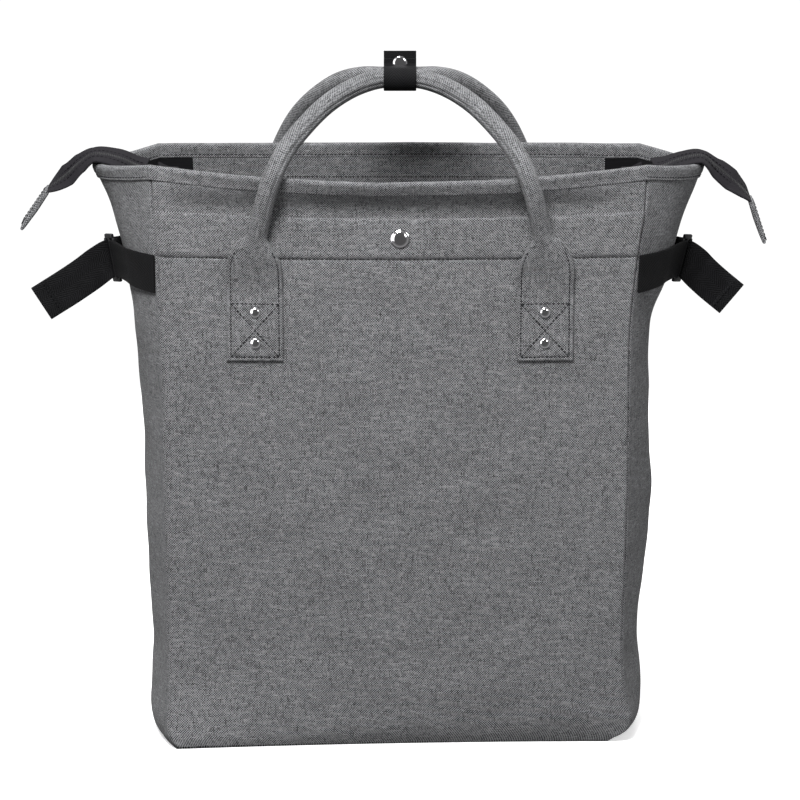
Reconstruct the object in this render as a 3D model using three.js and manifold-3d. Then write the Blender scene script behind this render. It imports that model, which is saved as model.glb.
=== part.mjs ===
// A convertible backpack in heather-grey woven cloth: an open-topped shopper body with a front slip
// pocket, two rolled grab handles held together by a snap wrap, webbing straps on both gussets, a
// mouth zip whose ends hang outside, and two padded shoulder straps on the back.
// Millimetres, +Z up. The origin is the middle of the base's underside, and the front faces -Y.

import * as THREE from "three";
import { mergeVertices } from "three/addons/utils/BufferGeometryUtils.js";
import Module from "manifold-3d";

const wasm = await Module();
wasm.setup();

// Body
const BODY_HEIGHT = 461;
const SEAM_HALF_WIDTH = 193;
const SIDE_BULGE = 48;
const HALF_DEPTH = 73;
const FRONT_BELLY = 15;
const BACK_BELLY = 5;
const RIM_LEAN = 12;
const FRONT_SAG = 8;
const SIDE_SAG = 7;

// Cloth layers
const CLOTH = 1.5;
const LINING = 1;
const BASE_CLOTH = 2;
const HEM_LEAF = 1.1;
const HEM_HEIGHT = 11;
const POCKET_CLOTH = 1.3;
const PLACKET_CLOTH = 1.2;
const LAYER_GAP = 0.3;
const SEAM_GAP = 0.4;

// Front pocket and its press stud
const POCKET_DROP = 35;
const POCKET_TOP = BODY_HEIGHT - POCKET_DROP;
const STUD_RADIUS = 7.6;
const STUD_HEIGHT = 2.8;
const STUD_DROP = 18;
const STUD_Z = POCKET_TOP - STUD_DROP;
const STEM_SHARE = 0.31;

// Handles
const HANDLE_SPREAD = 112;
const HANDLE_DIAMETER = 15;
const HANDLE_RISE = 60.8;
const HANDLE_APEX_Z = BODY_HEIGHT + HANDLE_RISE;
const HANDLE_GAP = 1.6;
const PATCH_WIDTH = 44;
const PATCH_CLOTH = 2.6;
const PATCH_DROP = 73;
const PATCH_LENGTH = 77;
const PATCH_SHOULDER = BODY_HEIGHT - PATCH_DROP;
const PATCH_BOTTOM = PATCH_SHOULDER - PATCH_LENGTH;
const PATCH_OVERRUN = 4;
const PATCH_GAP = 0.8;
const FLARE_LENGTH = 26;
const RIVET_RADIUS = 4.5;
const RIVET_HEIGHT = 2.3;
const RIVET_LIFTS = { lower: 14.5, upper: 38.5 };

// Wrap round both handles
const WRAP_WIDTH = 25.5;
const WRAP_CLOTH = 1.6;
const WRAP_CLEARANCE = 0.4;
const WRAP_BACK_TAB = 12;
const WRAP_FRONT_TAB = 6.5;
const WRAP_TAB_FOOT = 2.5;
const SNAP_RADIUS = 5.6;
const SNAP_LIFT = 3.1;
const SNAP_THICKNESS = 3;

// Webbing and buckles
const WEBBING_WIDTH = 30;
const WEBBING = 1.6;
const SIDE_STRAP_DROP = 84;
const SIDE_STRAP_Z = BODY_HEIGHT - SIDE_STRAP_DROP;
const BUCKLE_BAR = 2.6;
const BUCKLE_SLOT = 3;
const BUCKLE_THICKNESS = 3;
const BUCKLE_MARGIN = 4;
const BUCKLE_CORNER = 2;
const SLOT_PLAY = 1.3;
const BUCKLE_Y = 6;
const BUCKLE_STANDOFF = 6.2;
const BUCKLE_SWING = 0.9;
const STRAP_STANDOFF = 0.8;
const TAIL_BEND = 8;
const TAIL_DROOP = 2.5;

// Mouth zip
const PLACKET_HEIGHT = 30;
const PLACKET_HALF_LENGTH = 166;
const TAPE_WIDTH = 15;
const TAPE = 1.2;
const TAPE_STANDOFF = 1.4;
const TAPE_LEVEL = 1.4;
const ZIP_TAIL_WIDTH = 30;
const ZIP_TAIL = 2;
const ZIP_TAIL_START = 3;
const ZIP_TAIL_REACH = 81;
const END_TAB_WIDTH = 32;
const END_TAB = 4.2;
const SLIDER = { length: 11, width: 9, height: 6, pull: 24, bite: 2 };
const SLIDER_GAP = 1.5;

// Shoulder straps
const PAD_WIDTH = 56;
const PAD_THICKNESS = 9;
const PAD_STANDOFF = 30;
const PAD_TOP_DROP = 21;
const PAD_TOP = BODY_HEIGHT - PAD_TOP_DROP;
const PAD_TOP_X = 58;
const LOWER_WEBBING_WIDTH = 25;
const LOWER_ANCHOR_Z = 34;
const LOWER_STRAP_DROP = 114;
const PAD_DROP = PAD_TOP - LOWER_ANCHOR_Z - LOWER_STRAP_DROP;
const LOWER_ANCHOR_INSET = 14;
const ADJUSTER_BAR = 3.2;
const ADJUSTER_SLOT = 4;
const ADJUSTER_MARGIN = 3.4;
const ADJUSTER_GAP = 1.2;
const LOWER_WEBBING_SLACK = 3;

// How many steps each surface is cut into
const FRONT_STEPS = 10;
const GUSSET_STEPS = 8;
const BACK_STEPS = 6;
const HANDLE_STEPS = 32;
const HANDLE_SIDES = 10;
const HANDLE_CROWDING = 0.35;
const ROUND_STEPS = 10;
const BAND_STEPS = 20;
const STRAP_STEPS = 41;
const TAPE_STEPS = 26;
const ZIP_TAIL_STEPS = 20;
const PAD_STEPS = 18;

const materials = {
  heather: new THREE.MeshStandardMaterial({ color: 0x6f7073, roughness: 0.92, metalness: 0 }),
  lining: new THREE.MeshStandardMaterial({ color: 0x17171a, roughness: 0.7, metalness: 0 }),
  webbing: new THREE.MeshStandardMaterial({ color: 0x1d1d20, roughness: 0.75, metalness: 0 }),
  zip: new THREE.MeshStandardMaterial({ color: 0x2a272e, roughness: 0.7, metalness: 0 }),
  plastic: new THREE.MeshStandardMaterial({ color: 0x1a1a1c, roughness: 0.45, metalness: 0 }),
  steel: new THREE.MeshStandardMaterial({ color: 0xd9d8dc, roughness: 0.12, metalness: 1 }),
};

// Shares of the body's named sizes from base to rim, for its left and right sides: seam is the seams'
// half width, bulge how far the gusset stands out past them, front how far forward the front seams
// stand. Depth is the back seams' and belly the swelling of both panels. The rounded corners at the
// foot, the pinch above it and the fold under the side straps show in the columns.
const BODY_SECTIONS = [
  { height: 0.0, seam: [0.905, 0.83], bulge: [0.36, 0.5], front: [1.22, 0.92], depth: 0.94, belly: -0.35 },
  { height: 0.01, seam: [0.93, 0.895], bulge: [0.36, 0.36], front: [1.23, 0.94], depth: 0.98, belly: -0.3 },
  { height: 0.02, seam: [0.943, 0.93], bulge: [0.365, 0.27], front: [1.22, 0.96], depth: 1.0, belly: -0.2 },
  { height: 0.04, seam: [0.95, 0.952], bulge: [0.38, 0.21], front: [1.17, 0.98], depth: 1.0, belly: 0.0 },
  { height: 0.07, seam: [0.948, 0.935], bulge: [0.385, 0.28], front: [1.11, 0.99], depth: 1.0, belly: 0.15 },
  { height: 0.11, seam: [0.948, 0.92], bulge: [0.37, 0.33], front: [1.05, 1.0], depth: 1.0, belly: 0.3 },
  { height: 0.17, seam: [0.948, 0.909], bulge: [0.33, 0.34], front: [1.01, 1.0], depth: 1.0, belly: 0.45 },
  { height: 0.3, seam: [0.949, 0.917], bulge: [0.38, 0.4], front: [1.0, 1.0], depth: 1.0, belly: 0.55 },
  { height: 0.45, seam: [0.953, 0.925], bulge: [0.38, 0.42], front: [1.0, 1.0], depth: 1.0, belly: 0.65 },
  { height: 0.6, seam: [0.957, 0.925], bulge: [0.44, 0.41], front: [0.99, 0.99], depth: 0.99, belly: 0.7 },
  { height: 0.72, seam: [0.963, 0.927], bulge: [0.55, 0.46], front: [0.97, 0.97], depth: 0.97, belly: 0.75 },
  { height: 0.8, seam: [0.97, 0.943], bulge: [0.61, 0.63], front: [0.94, 0.94], depth: 0.94, belly: 0.8 },
  { height: 0.87, seam: [0.983, 0.964], bulge: [0.69, 0.7], front: [0.9, 0.9], depth: 0.9, belly: 0.9 },
  { height: 0.93, seam: [0.996, 0.987], bulge: [0.77, 0.78], front: [0.85, 0.85], depth: 0.85, belly: 1.0 },
  { height: 1.0, seam: [1.005, 0.995], bulge: [0.99, 0.99], front: [0.79, 0.79], depth: 0.79, belly: 1.0 },
];

// Every layer of the walls bends at the same heights, so that the layers stay parallel
const SHARED_LEVELS = [
  0.01,
  0.022,
  0.05,
  0.14,
  0.32,
  0.5,
  0.66,
  (SIDE_STRAP_Z - WEBBING_WIDTH / 2) / BODY_HEIGHT,
  (SIDE_STRAP_Z + WEBBING_WIDTH / 2) / BODY_HEIGHT,
  STUD_Z / BODY_HEIGHT,
  POCKET_TOP / BODY_HEIGHT,
  0.952,
  (BODY_HEIGHT - HEM_HEIGHT) / BODY_HEIGHT,
];

/** A value of the body's table at a share of the height, on a smooth curve through its rows. */
function sectionValue(read, share) {
  const last = BODY_SECTIONS.length - 1;
  const heightOf = (k) => BODY_SECTIONS[k].height;
  const valueOf = (k) => read(BODY_SECTIONS[k]);
  const t = THREE.MathUtils.clamp(share, 0, 1);
  let i = 0;
  while (i < last - 1 && t > heightOf(i + 1)) i += 1;
  const slope = (k) => {
    const [low, high] = [Math.max(k - 1, 0), Math.min(k + 1, last)];
    return (valueOf(high) - valueOf(low)) / (heightOf(high) - heightOf(low));
  };
  const span = heightOf(i + 1) - heightOf(i);
  const s = (t - heightOf(i)) / span;
  const s2 = s * s;
  const s3 = s2 * s;
  return (
    (2 * s3 - 3 * s2 + 1) * valueOf(i) +
    (s3 - 2 * s2 + s) * span * slope(i) +
    (3 * s2 - 2 * s3) * valueOf(i + 1) +
    (s3 - s2) * span * slope(i + 1)
  );
}

const smoothstep = THREE.MathUtils.smoothstep;
const lerp = THREE.MathUtils.lerp;
const LEFT = 0;
const RIGHT = 1;

/** The body's outer surface: a panel's name, across it from -1 to 1, and the share of the height. */
function bodyPoint(panel, across, share) {
  const left = -SEAM_HALF_WIDTH * sectionValue((row) => row.seam[LEFT], share);
  const right = SEAM_HALF_WIDTH * sectionValue((row) => row.seam[RIGHT], share);
  const leftFront = -HALF_DEPTH * sectionValue((row) => row.front[LEFT], share);
  const rightFront = -HALF_DEPTH * sectionValue((row) => row.front[RIGHT], share);
  const back = HALF_DEPTH * sectionValue((row) => row.depth, share);
  const belly = sectionValue((row) => row.belly, share);
  const bow = 1 - across * across;
  const nearRim = smoothstep(share, 0.86, 1);
  const rise = share * BODY_HEIGHT;
  const along = (across + 1) / 2;
  if (panel === "front") {
    const pocketTop = POCKET_TOP / BODY_HEIGHT;
    const lean = RIM_LEAN * Math.max(0, (share - pocketTop) / (1 - pocketTop));
    const swell = (FRONT_BELLY * belly + lean) * bow;
    const y = lerp(leftFront, rightFront, along) - swell;
    return new THREE.Vector3(lerp(left, right, along), y, rise - FRONT_SAG * bow * nearRim);
  }
  if (panel === "back") {
    const y = back + BACK_BELLY * belly * bow;
    return new THREE.Vector3(lerp(right, left, along), y, rise);
  }
  const point = 1 - Math.pow(Math.abs(across), lerp(2, 1.5, nearRim));
  const z = rise - SIDE_SAG * bow * nearRim;
  if (panel === "right") {
    const bulge = SIDE_BULGE * sectionValue((row) => row.bulge[RIGHT], share);
    return new THREE.Vector3(right + bulge * point, lerp(rightFront, back, along), z);
  }
  const bulge = SIDE_BULGE * sectionValue((row) => row.bulge[LEFT], share);
  return new THREE.Vector3(left - bulge * point, lerp(back, leftFront, along), z);
}

// Stations run once round the body. Neighbouring panels share the station at their seam.
const PANELS = [
  { name: "front", steps: FRONT_STEPS },
  { name: "right", steps: GUSSET_STEPS },
  { name: "back", steps: BACK_STEPS },
  { name: "left", steps: GUSSET_STEPS },
];
const stations = [];
const panelStart = {};
for (const { name, steps } of PANELS) {
  panelStart[name] = stations.length;
  for (let i = 0; i < steps; i += 1) stations.push({ panel: name, across: (2 * i) / steps - 1 });
}
const panelSteps = Object.fromEntries(PANELS.map(({ name, steps }) => [name, steps]));

/** One level of the body, moved inward by inset at every station, square to the leaning wall. */
function bodyLoop(share, inset) {
  const step = 0.004;
  const loop = stations.map(({ panel, across }) => bodyPoint(panel, across, share));
  const low = stations.map(({ panel, across }) => bodyPoint(panel, across, Math.max(share - step, 0)));
  const high = stations.map(({ panel, across }) => bodyPoint(panel, across, Math.min(share + step, 1)));
  return loop.map((p, i) => {
    const before = loop[(i + loop.length - 1) % loop.length];
    const after = loop[(i + 1) % loop.length];
    const inward = (a, b) => new THREE.Vector2(a.y - b.y, b.x - a.x).normalize();
    const n1 = inward(before, p);
    const n2 = inward(p, after);
    const mitre = n1.clone().add(n2);
    mitre.multiplyScalar(2 / mitre.lengthSq());
    const lean = Math.hypot(high[i].x - low[i].x, high[i].y - low[i].y) / (high[i].z - low[i].z);
    const reach = inset * Math.min(Math.hypot(1, lean), 1.6);
    return new THREE.Vector3(p.x + mitre.x * reach, p.y + mitre.y * reach, p.z);
  });
}

/**
 * Turns sections with the same number of points into one closed geometry. Faces whose edge falls are
 * split along the other diagonal than those whose edge rises, so that the faces of all sheets bend alike.
 */
function loft(sections, { ring = false } = {}) {
  const count = sections[0].length;
  const points = sections.flat();
  const faces = [];
  const quad = (a, b, c, d) => {
    if (points[b].z < points[a].z) faces.push(b, c, d, b, d, a);
    else faces.push(a, b, c, a, c, d);
  };
  const lastSection = ring ? sections.length : sections.length - 1;
  for (let i = 0; i < lastSection; i += 1) {
    const here = i * count;
    const next = ((i + 1) % sections.length) * count;
    for (let k = 0; k < count; k += 1) {
      const l = (k + 1) % count;
      quad(here + k, here + l, next + l, next + k);
    }
  }
  const close = (start, flip) => {
    const add = (a, b, c) => (flip ? faces.push(a, c, b) : faces.push(a, b, c));
    for (let k = 0; k < count / 2 - 1; k += 1) {
      add(start + k, start + count - 1 - k, start + k + 1);
      add(start + k + 1, start + count - 1 - k, start + count - 2 - k);
    }
  };
  if (!ring) {
    close(0, false);
    close((sections.length - 1) * count, true);
  }
  const geometry = new THREE.BufferGeometry().setFromPoints(points);
  geometry.setIndex(faces);
  return faceOutward(geometry);
}

/** Reverses a closed geometry whose faces point inward. */
function faceOutward(geometry) {
  const position = geometry.getAttribute("position");
  const index = geometry.getIndex();
  const [a, b, c] = [new THREE.Vector3(), new THREE.Vector3(), new THREE.Vector3()];
  let volume = 0;
  for (let i = 0; i < index.count; i += 3) {
    a.fromBufferAttribute(position, index.getX(i));
    b.fromBufferAttribute(position, index.getX(i + 1));
    c.fromBufferAttribute(position, index.getX(i + 2));
    volume += a.dot(b.cross(c));
  }
  if (volume < 0) {
    for (let i = 0; i < index.count; i += 3) {
      const second = index.getX(i + 1);
      index.setX(i + 1, index.getX(i + 2));
      index.setX(i + 2, second);
    }
  }
  return geometry;
}

/** The manifold-3d solid of a closed geometry. */
function solidOf(geometry) {
  const plain = geometry.clone();
  plain.deleteAttribute("normal");
  plain.deleteAttribute("uv");
  const merged = mergeVertices(plain, 1e-3);
  return new wasm.Manifold(
    new wasm.Mesh({
      numProp: 3,
      vertProperties: merged.getAttribute("position").array,
      triVerts: new Uint32Array(merged.getIndex().array),
    }),
  );
}

/** A geometry from a manifold-3d solid. */
function geometryOf(solid) {
  const mesh = solid.getMesh();
  const geometry = new THREE.BufferGeometry();
  geometry.setAttribute("position", new THREE.BufferAttribute(mesh.vertProperties, 3));
  geometry.setIndex(new THREE.BufferAttribute(mesh.triVerts, 1));
  return geometry;
}

/** Cuts the tools out of a geometry. */
function cut(geometry, tools) {
  return geometryOf(tools.reduce((solid, tool) => solid.subtract(solidOf(tool)), solidOf(geometry)));
}

/** What two closed geometries have in common. */
function common(a, b) {
  return geometryOf(solidOf(a).intersect(solidOf(b)));
}

/** Joins closed geometries that overlap into one. */
function join(...geometries) {
  return geometryOf(geometries.map(solidOf).reduce((a, b) => a.add(b)));
}

const pack = new THREE.Group();

/** Adds a named piece to the backpack. */
function piece(name, geometry, material) {
  const mesh = new THREE.Mesh(geometry, material);
  mesh.name = name;
  pack.add(mesh);
  return mesh;
}

/** A layer's levels: its own bottom and top as shares of the height, and the shared ones between. */
function levelsBetween(bottomZ, topZ) {
  const clear = 1.5 / BODY_HEIGHT;
  const [bottom, top] = [bottomZ / BODY_HEIGHT, topZ / BODY_HEIGHT];
  return [bottom, ...SHARED_LEVELS.filter((level) => level > bottom + clear && level < top - clear), top];
}

/**
 * A layer of one panel from one height to another, between two insets from the body's surface. Its
 * ends are trimmed so that neighbours don't touch.
 */
function panelLayer(panel, { bottom = WALL_FOOT, top = WALL_TOP, outer = 0, inner = CLOTH }) {
  const first = panelStart[panel];
  const count = panelSteps[panel] + 1;
  const levels = levelsBetween(bottom, top);
  const outerLoops = levels.map((level) => bodyLoop(level, outer));
  const innerLoops = levels.map((level) => bodyLoop(level, inner)).reverse();
  const column = (i) => [...outerLoops, ...innerLoops].map((loop) => loop[(first + i) % stations.length]);
  const trimmed = (i) => {
    if (i > 0 && i < count - 1) return column(i);
    const neighbour = column(i === 0 ? 1 : count - 2);
    return column(i).map((p, k) => {
      const along = neighbour[k].clone().sub(p).normalize();
      return p.clone().addScaledVector(along, SEAM_GAP / 2);
    });
  };
  return loft(Array.from({ length: count }, (_, i) => trimmed(i)));
}

/** A layer that runs right round the body. */
function ringLayer({ bottom, top, outer, inner }) {
  const levels = levelsBetween(bottom, top);
  const outerLoops = levels.map((level) => bodyLoop(level, outer));
  const innerLoops = levels.map((level) => bodyLoop(level, inner)).reverse();
  const loops = [...outerLoops, ...innerLoops];
  return loft(stations.map((_, i) => loops.map((loop) => loop[i])), { ring: true });
}

// The walls stand on the base, and their top edges end inside the folded hem
const WALL_FOOT = BASE_CLOTH + LAYER_GAP;
const WALL_TOP = BODY_HEIGHT - HEM_LEAF - LAYER_GAP;
const HEM_FOOT = BODY_HEIGHT - HEM_HEIGHT;
const LINING_OUTER = CLOTH + LAYER_GAP;
const LINING_INNER = LINING_OUTER + LINING;
const PLACKET_OUTER = LINING_INNER + LAYER_GAP;
const POCKET_INNER = -LAYER_GAP;
const POCKET_OUTER = POCKET_INNER - POCKET_CLOTH;

/** A flat sheet with the body's outline at a given height. */
function flatSheet({ outlineAt, inset, bottom, thickness }) {
  const loop = bodyLoop(outlineAt / BODY_HEIGHT, inset);
  const outline = new THREE.Shape(loop.map((p) => new THREE.Vector2(p.x, p.y)));
  const sheet = new THREE.ExtrudeGeometry(outline, { depth: thickness, bevelEnabled: false });
  return sheet.translate(0, 0, bottom);
}

/** Front, back and gusset walls, and the flat base that they stand on. */
function buildBody() {
  piece("front_panel", panelLayer("front", {}), materials.heather);
  piece("back_panel", panelLayer("back", {}), materials.heather);
  piece("gusset_left", panelLayer("left", {}), materials.heather);
  piece("gusset_right", panelLayer("right", {}), materials.heather);
  const base = { outlineAt: BASE_CLOTH, inset: 0, bottom: 0, thickness: BASE_CLOTH };
  piece("base_panel", flatSheet(base), materials.heather);
}

/** The loose lining bag that hangs from the hem inside the walls. */
function buildLining() {
  const span = { bottom: WALL_FOOT, top: HEM_FOOT - LAYER_GAP };
  const wall = ringLayer({ ...span, outer: LINING_OUTER, inner: LINING_INNER });
  const inset = lerp(LINING_OUTER, LINING_INNER, 0.2);
  const floor = flatSheet({ outlineAt: WALL_FOOT, inset, bottom: WALL_FOOT, thickness: LINING });
  piece("lining", join(wall, floor), materials.lining);
}

/** The cloth strip folded over the whole rim: an upside-down channel that the walls' edges sit in. */
function buildRimHem() {
  const outside = -(LAYER_GAP + HEM_LEAF);
  const inside = LINING_OUTER + HEM_LEAF;
  const shoulder = BODY_HEIGHT - HEM_LEAF * 0.55;
  const crown = BODY_HEIGHT + HEM_LEAF * 0.2;
  const channelTop = WALL_TOP + LAYER_GAP;
  const corners = [
    { inset: outside, z: HEM_FOOT },
    { inset: outside, z: shoulder },
    { inset: lerp(outside, inside, 0.3), z: crown },
    { inset: lerp(outside, inside, 0.7), z: crown },
    { inset: inside, z: shoulder },
    { inset: inside, z: HEM_FOOT },
    { inset: LINING_OUTER, z: HEM_FOOT },
    { inset: LINING_OUTER, z: channelTop },
    { inset: -LAYER_GAP, z: channelTop },
    { inset: -LAYER_GAP, z: HEM_FOOT },
  ];
  const loops = corners.map(({ inset, z }) => {
    const share = Math.min(z / BODY_HEIGHT, 1);
    const above = z - share * BODY_HEIGHT;
    return bodyLoop(share, inset).map((p) => p.clone().setZ(p.z + above));
  });
  const hem = loft(stations.map((_, i) => loops.map((loop) => loop[i])), { ring: true });
  piece("rim_hem", hem, materials.heather);
}

/** A turned piece whose axis runs out along a direction from a seat. */
function turnedPiece(name, profile, seat, outward, material) {
  const geometry = new THREE.LatheGeometry(profile, ROUND_STEPS);
  const mesh = piece(name, geometry, material);
  mesh.position.copy(seat);
  mesh.quaternion.setFromUnitVectors(new THREE.Vector3(0, 1, 0), outward);
  return mesh;
}

/** The profile of a domed cap on a stem that reaches back through the cloth. */
function capProfile(radius, height, stemRadius, stemLength) {
  const rows = [
    { share: 1.0, rise: 0 },
    { share: 1.0, rise: 0.3 },
    { share: 0.82, rise: 0.72 },
    { share: 0.45, rise: 0.94 },
    { share: 0, rise: 1 },
  ];
  return [
    new THREE.Vector2(0, -stemLength),
    new THREE.Vector2(stemRadius, -stemLength),
    new THREE.Vector2(stemRadius, 0),
    ...rows.map(({ share, rise }) => new THREE.Vector2(share * radius, rise * height)),
  ];
}

/** A plain round cutter along a direction, centred on a point. */
function drill(radius, length, centre, direction) {
  const geometry = new THREE.CylinderGeometry(radius, radius, length, 8);
  const turn = new THREE.Quaternion().setFromUnitVectors(new THREE.Vector3(0, 1, 0), direction);
  return geometry.applyQuaternion(turn).translate(centre.x, centre.y, centre.z);
}

/** A point on a panel's outer surface at a given x and z, with its outward normal. */
function seatOn(panel, x, z) {
  const share = z / BODY_HEIGHT;
  const start = bodyPoint(panel, -1, share).x;
  const end = bodyPoint(panel, 1, share).x;
  const across = (2 * (x - start)) / (end - start) - 1;
  const step = 0.01;
  const sideways = bodyPoint(panel, across + step, share).sub(bodyPoint(panel, across - step, share));
  const upward = bodyPoint(panel, across, share + step).sub(bodyPoint(panel, across, share - step));
  const point = bodyPoint(panel, across, share);
  return { point, normal: sideways.cross(upward).normalize(), upward: upward.normalize() };
}

/** The full-width slip pocket on the front, and the press stud that closes it. */
function buildFrontPocket() {
  const pocket = panelLayer("front", { top: POCKET_TOP, outer: POCKET_OUTER, inner: POCKET_INNER });
  const { point, normal } = seatOn("front", 0, STUD_Z);
  const stemRadius = STUD_RADIUS * STEM_SHARE;
  const hole = drill(stemRadius + LAYER_GAP, 4 * POCKET_CLOTH, point, normal);
  piece("front_pocket", cut(pocket, [hole]), materials.heather);
  const seat = point.clone().addScaledVector(normal, LAYER_GAP - POCKET_OUTER);
  const profile = capProfile(STUD_RADIUS, STUD_HEIGHT, stemRadius, POCKET_CLOTH + LAYER_GAP);
  turnedPiece("pocket_stud", profile, seat, normal, materials.steel);
}

// A handle's leg above its patch, from the neck to the top. Side is a share of the handle spread, out
// of the half depth, and rise of the height from the patch's shoulder to the handle's top.
const FRONT_LEG = [
  { side: 0.975, out: 1.19, rise: 0.17 },
  { side: 0.93, out: 1.22, rise: 0.36 },
  { side: 0.865, out: 1.23, rise: 0.53 },
  { side: 0.785, out: 1.09, rise: 0.655 },
  { side: 0.67, out: 0.85, rise: 0.765 },
  { side: 0.5, out: 0.53, rise: 0.885 },
  { side: 0.31, out: 0.27, rise: 0.965 },
  { side: 0.13, out: 0.115, rise: 1 },
];
const BACK_LEG = [
  { side: 0.975, out: 1.07, rise: 0.17 },
  { side: 0.92, out: 1.06, rise: 0.36 },
  { side: 0.84, out: 1.0, rise: 0.54 },
  { side: 0.725, out: 0.8, rise: 0.72 },
  { side: 0.575, out: 0.56, rise: 0.86 },
  { side: 0.415, out: 0.36, rise: 0.955 },
  { side: 0.26, out: 0.2, rise: 0.995 },
  { side: 0.13, out: 0.115, rise: 1 },
];

/** A section with round ends and flat sides, spanned by two directions at its centre. */
function roundedSection({ centre, across, outward, width, thick, sides }) {
  return Array.from({ length: sides }, (_, k) => {
    const angle = ((k + 0.5) / sides) * 2 * Math.PI;
    const flat = (Math.sign(Math.cos(angle)) * (width - thick)) / 2;
    return centre
      .clone()
      .addScaledVector(across, (Math.cos(angle) * thick) / 2 + flat)
      .addScaledVector(outward, (Math.sin(angle) * thick) / 2);
  });
}

/** The middle of a handle patch's cloth at a height, on the left (-1) or the right (1). */
function patchPoint(panel, side, z, stack) {
  const { point, normal } = seatOn(panel, side * HANDLE_SPREAD, z);
  return point.addScaledVector(normal, stack + PATCH_GAP + PATCH_CLOTH / 2);
}

/** A handle's middle line, up from its left patch, over the top and down to its right patch. */
function handleCurve(panel, leg, stack) {
  const facing = panel === "front" ? -1 : 1;
  const rise = HANDLE_APEX_Z - PATCH_SHOULDER;
  const patchHeight = (k) => lerp(PATCH_BOTTOM, PATCH_SHOULDER + PATCH_OVERRUN, k);
  const legPoint = (side, row) =>
    new THREE.Vector3(
      side * row.side * HANDLE_SPREAD,
      facing * row.out * HALF_DEPTH,
      PATCH_SHOULDER + row.rise * rise,
    );
  const half = (side) => [
    ...[0, 0.33, 0.66, 1].map((k) => patchPoint(panel, side, patchHeight(k), stack)),
    ...leg.map((row) => legPoint(side, row)),
  ];
  const top = new THREE.Vector3(0, (facing * (HANDLE_DIAMETER + HANDLE_GAP)) / 2, HANDLE_APEX_Z);
  const curve = new THREE.CatmullRomCurve3([...half(-1), top, ...half(1).reverse()], false, "centripetal");
  curve.arcLengthDivisions = 800;
  return curve;
}

/** A handle's solid: flat and wide over the patches, rolled round above them. */
function handleSolid(panel, leg, stack) {
  const facing = panel === "front" ? -1 : 1;
  const curve = handleCurve(panel, leg, stack);
  const length = curve.getLength();
  const flatLength = PATCH_SHOULDER - PATCH_BOTTOM;
  const sections = [];
  for (let i = 0; i <= HANDLE_STEPS; i += 1) {
    // Sections lie wider apart on the flat patches than over the bends
    const even = i / HANDLE_STEPS;
    const t = lerp(even, smoothstep(even, 0, 1), -HANDLE_CROWDING);
    const centre = curve.getPointAt(t);
    const tangent = curve.getTangentAt(t);
    const rolled = smoothstep(Math.min(t, 1 - t) * length, flatLength, flatLength + FLARE_LENGTH);
    const wall = seatOn(panel, Math.sign(centre.x) * HANDLE_SPREAD, PATCH_SHOULDER).normal;
    const outward = wall.lerp(new THREE.Vector3(0, facing, 0), rolled);
    outward.addScaledVector(tangent, -outward.dot(tangent)).normalize();
    const across = new THREE.Vector3().crossVectors(tangent, outward);
    const width = lerp(PATCH_WIDTH, HANDLE_DIAMETER, rolled);
    const thick = lerp(PATCH_CLOTH, HANDLE_DIAMETER, Math.pow(rolled, 1.5));
    sections.push(roundedSection({ centre, across, outward, width, thick, sides: HANDLE_SIDES }));
  }
  return loft(sections);
}

/** Where one handle's rivets sit in its patches. */
function rivetSeats(panel, stack) {
  const seatsOf = (side) =>
    Object.entries(RIVET_LIFTS).map(([level, lift]) => {
      const z = PATCH_BOTTOM + lift;
      const { normal } = seatOn(panel, side * HANDLE_SPREAD, z);
      const place = `${side < 0 ? "left" : "right"}_${level}`;
      return { place, normal, centre: patchPoint(panel, side, z, stack) };
    });
  return [...seatsOf(-1), ...seatsOf(1)];
}

/** One rolled handle with a flat sewn patch at each end, and the rivets through the patches. */
function buildHandle(panel, leg, stack) {
  const stemRadius = RIVET_RADIUS * STEM_SHARE;
  const seats = rivetSeats(panel, stack);
  const holes = seats.map(({ centre, normal }) =>
    drill(stemRadius + LAYER_GAP, 3 * PATCH_CLOTH, centre, normal),
  );
  piece(`handle_${panel}`, cut(handleSolid(panel, leg, stack), holes), materials.heather);
  const profile = capProfile(RIVET_RADIUS, RIVET_HEIGHT, stemRadius, PATCH_CLOTH);
  seats.forEach(({ place, normal, centre }) => {
    const seat = centre.clone().addScaledVector(normal, PATCH_CLOTH / 2 + LAYER_GAP);
    turnedPiece(`rivet_${panel}_${place}`, profile, seat, normal, materials.steel);
  });
}

/** The outline of a strip of even thickness that follows a line of 2-D points. */
function stripShape(line, thickness) {
  const side = (sign) =>
    line.map((p, i) => {
      const before = line[Math.max(i - 1, 0)];
      const after = line[Math.min(i + 1, line.length - 1)];
      const along = after.clone().sub(before).normalize();
      const reach = (sign * thickness) / 2;
      return new THREE.Vector2(p.x - along.y * reach, p.y + along.x * reach);
    });
  return new THREE.Shape([...side(1), ...side(-1).reverse()]);
}

// The wrap's inside stands this far from the line through both handles' tops
const WRAP_RADIUS = HANDLE_DIAMETER / 2 + WRAP_CLEARANCE + WRAP_CLOTH / 2;
const WRAP_CROWN = HANDLE_APEX_Z + WRAP_RADIUS;

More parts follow.
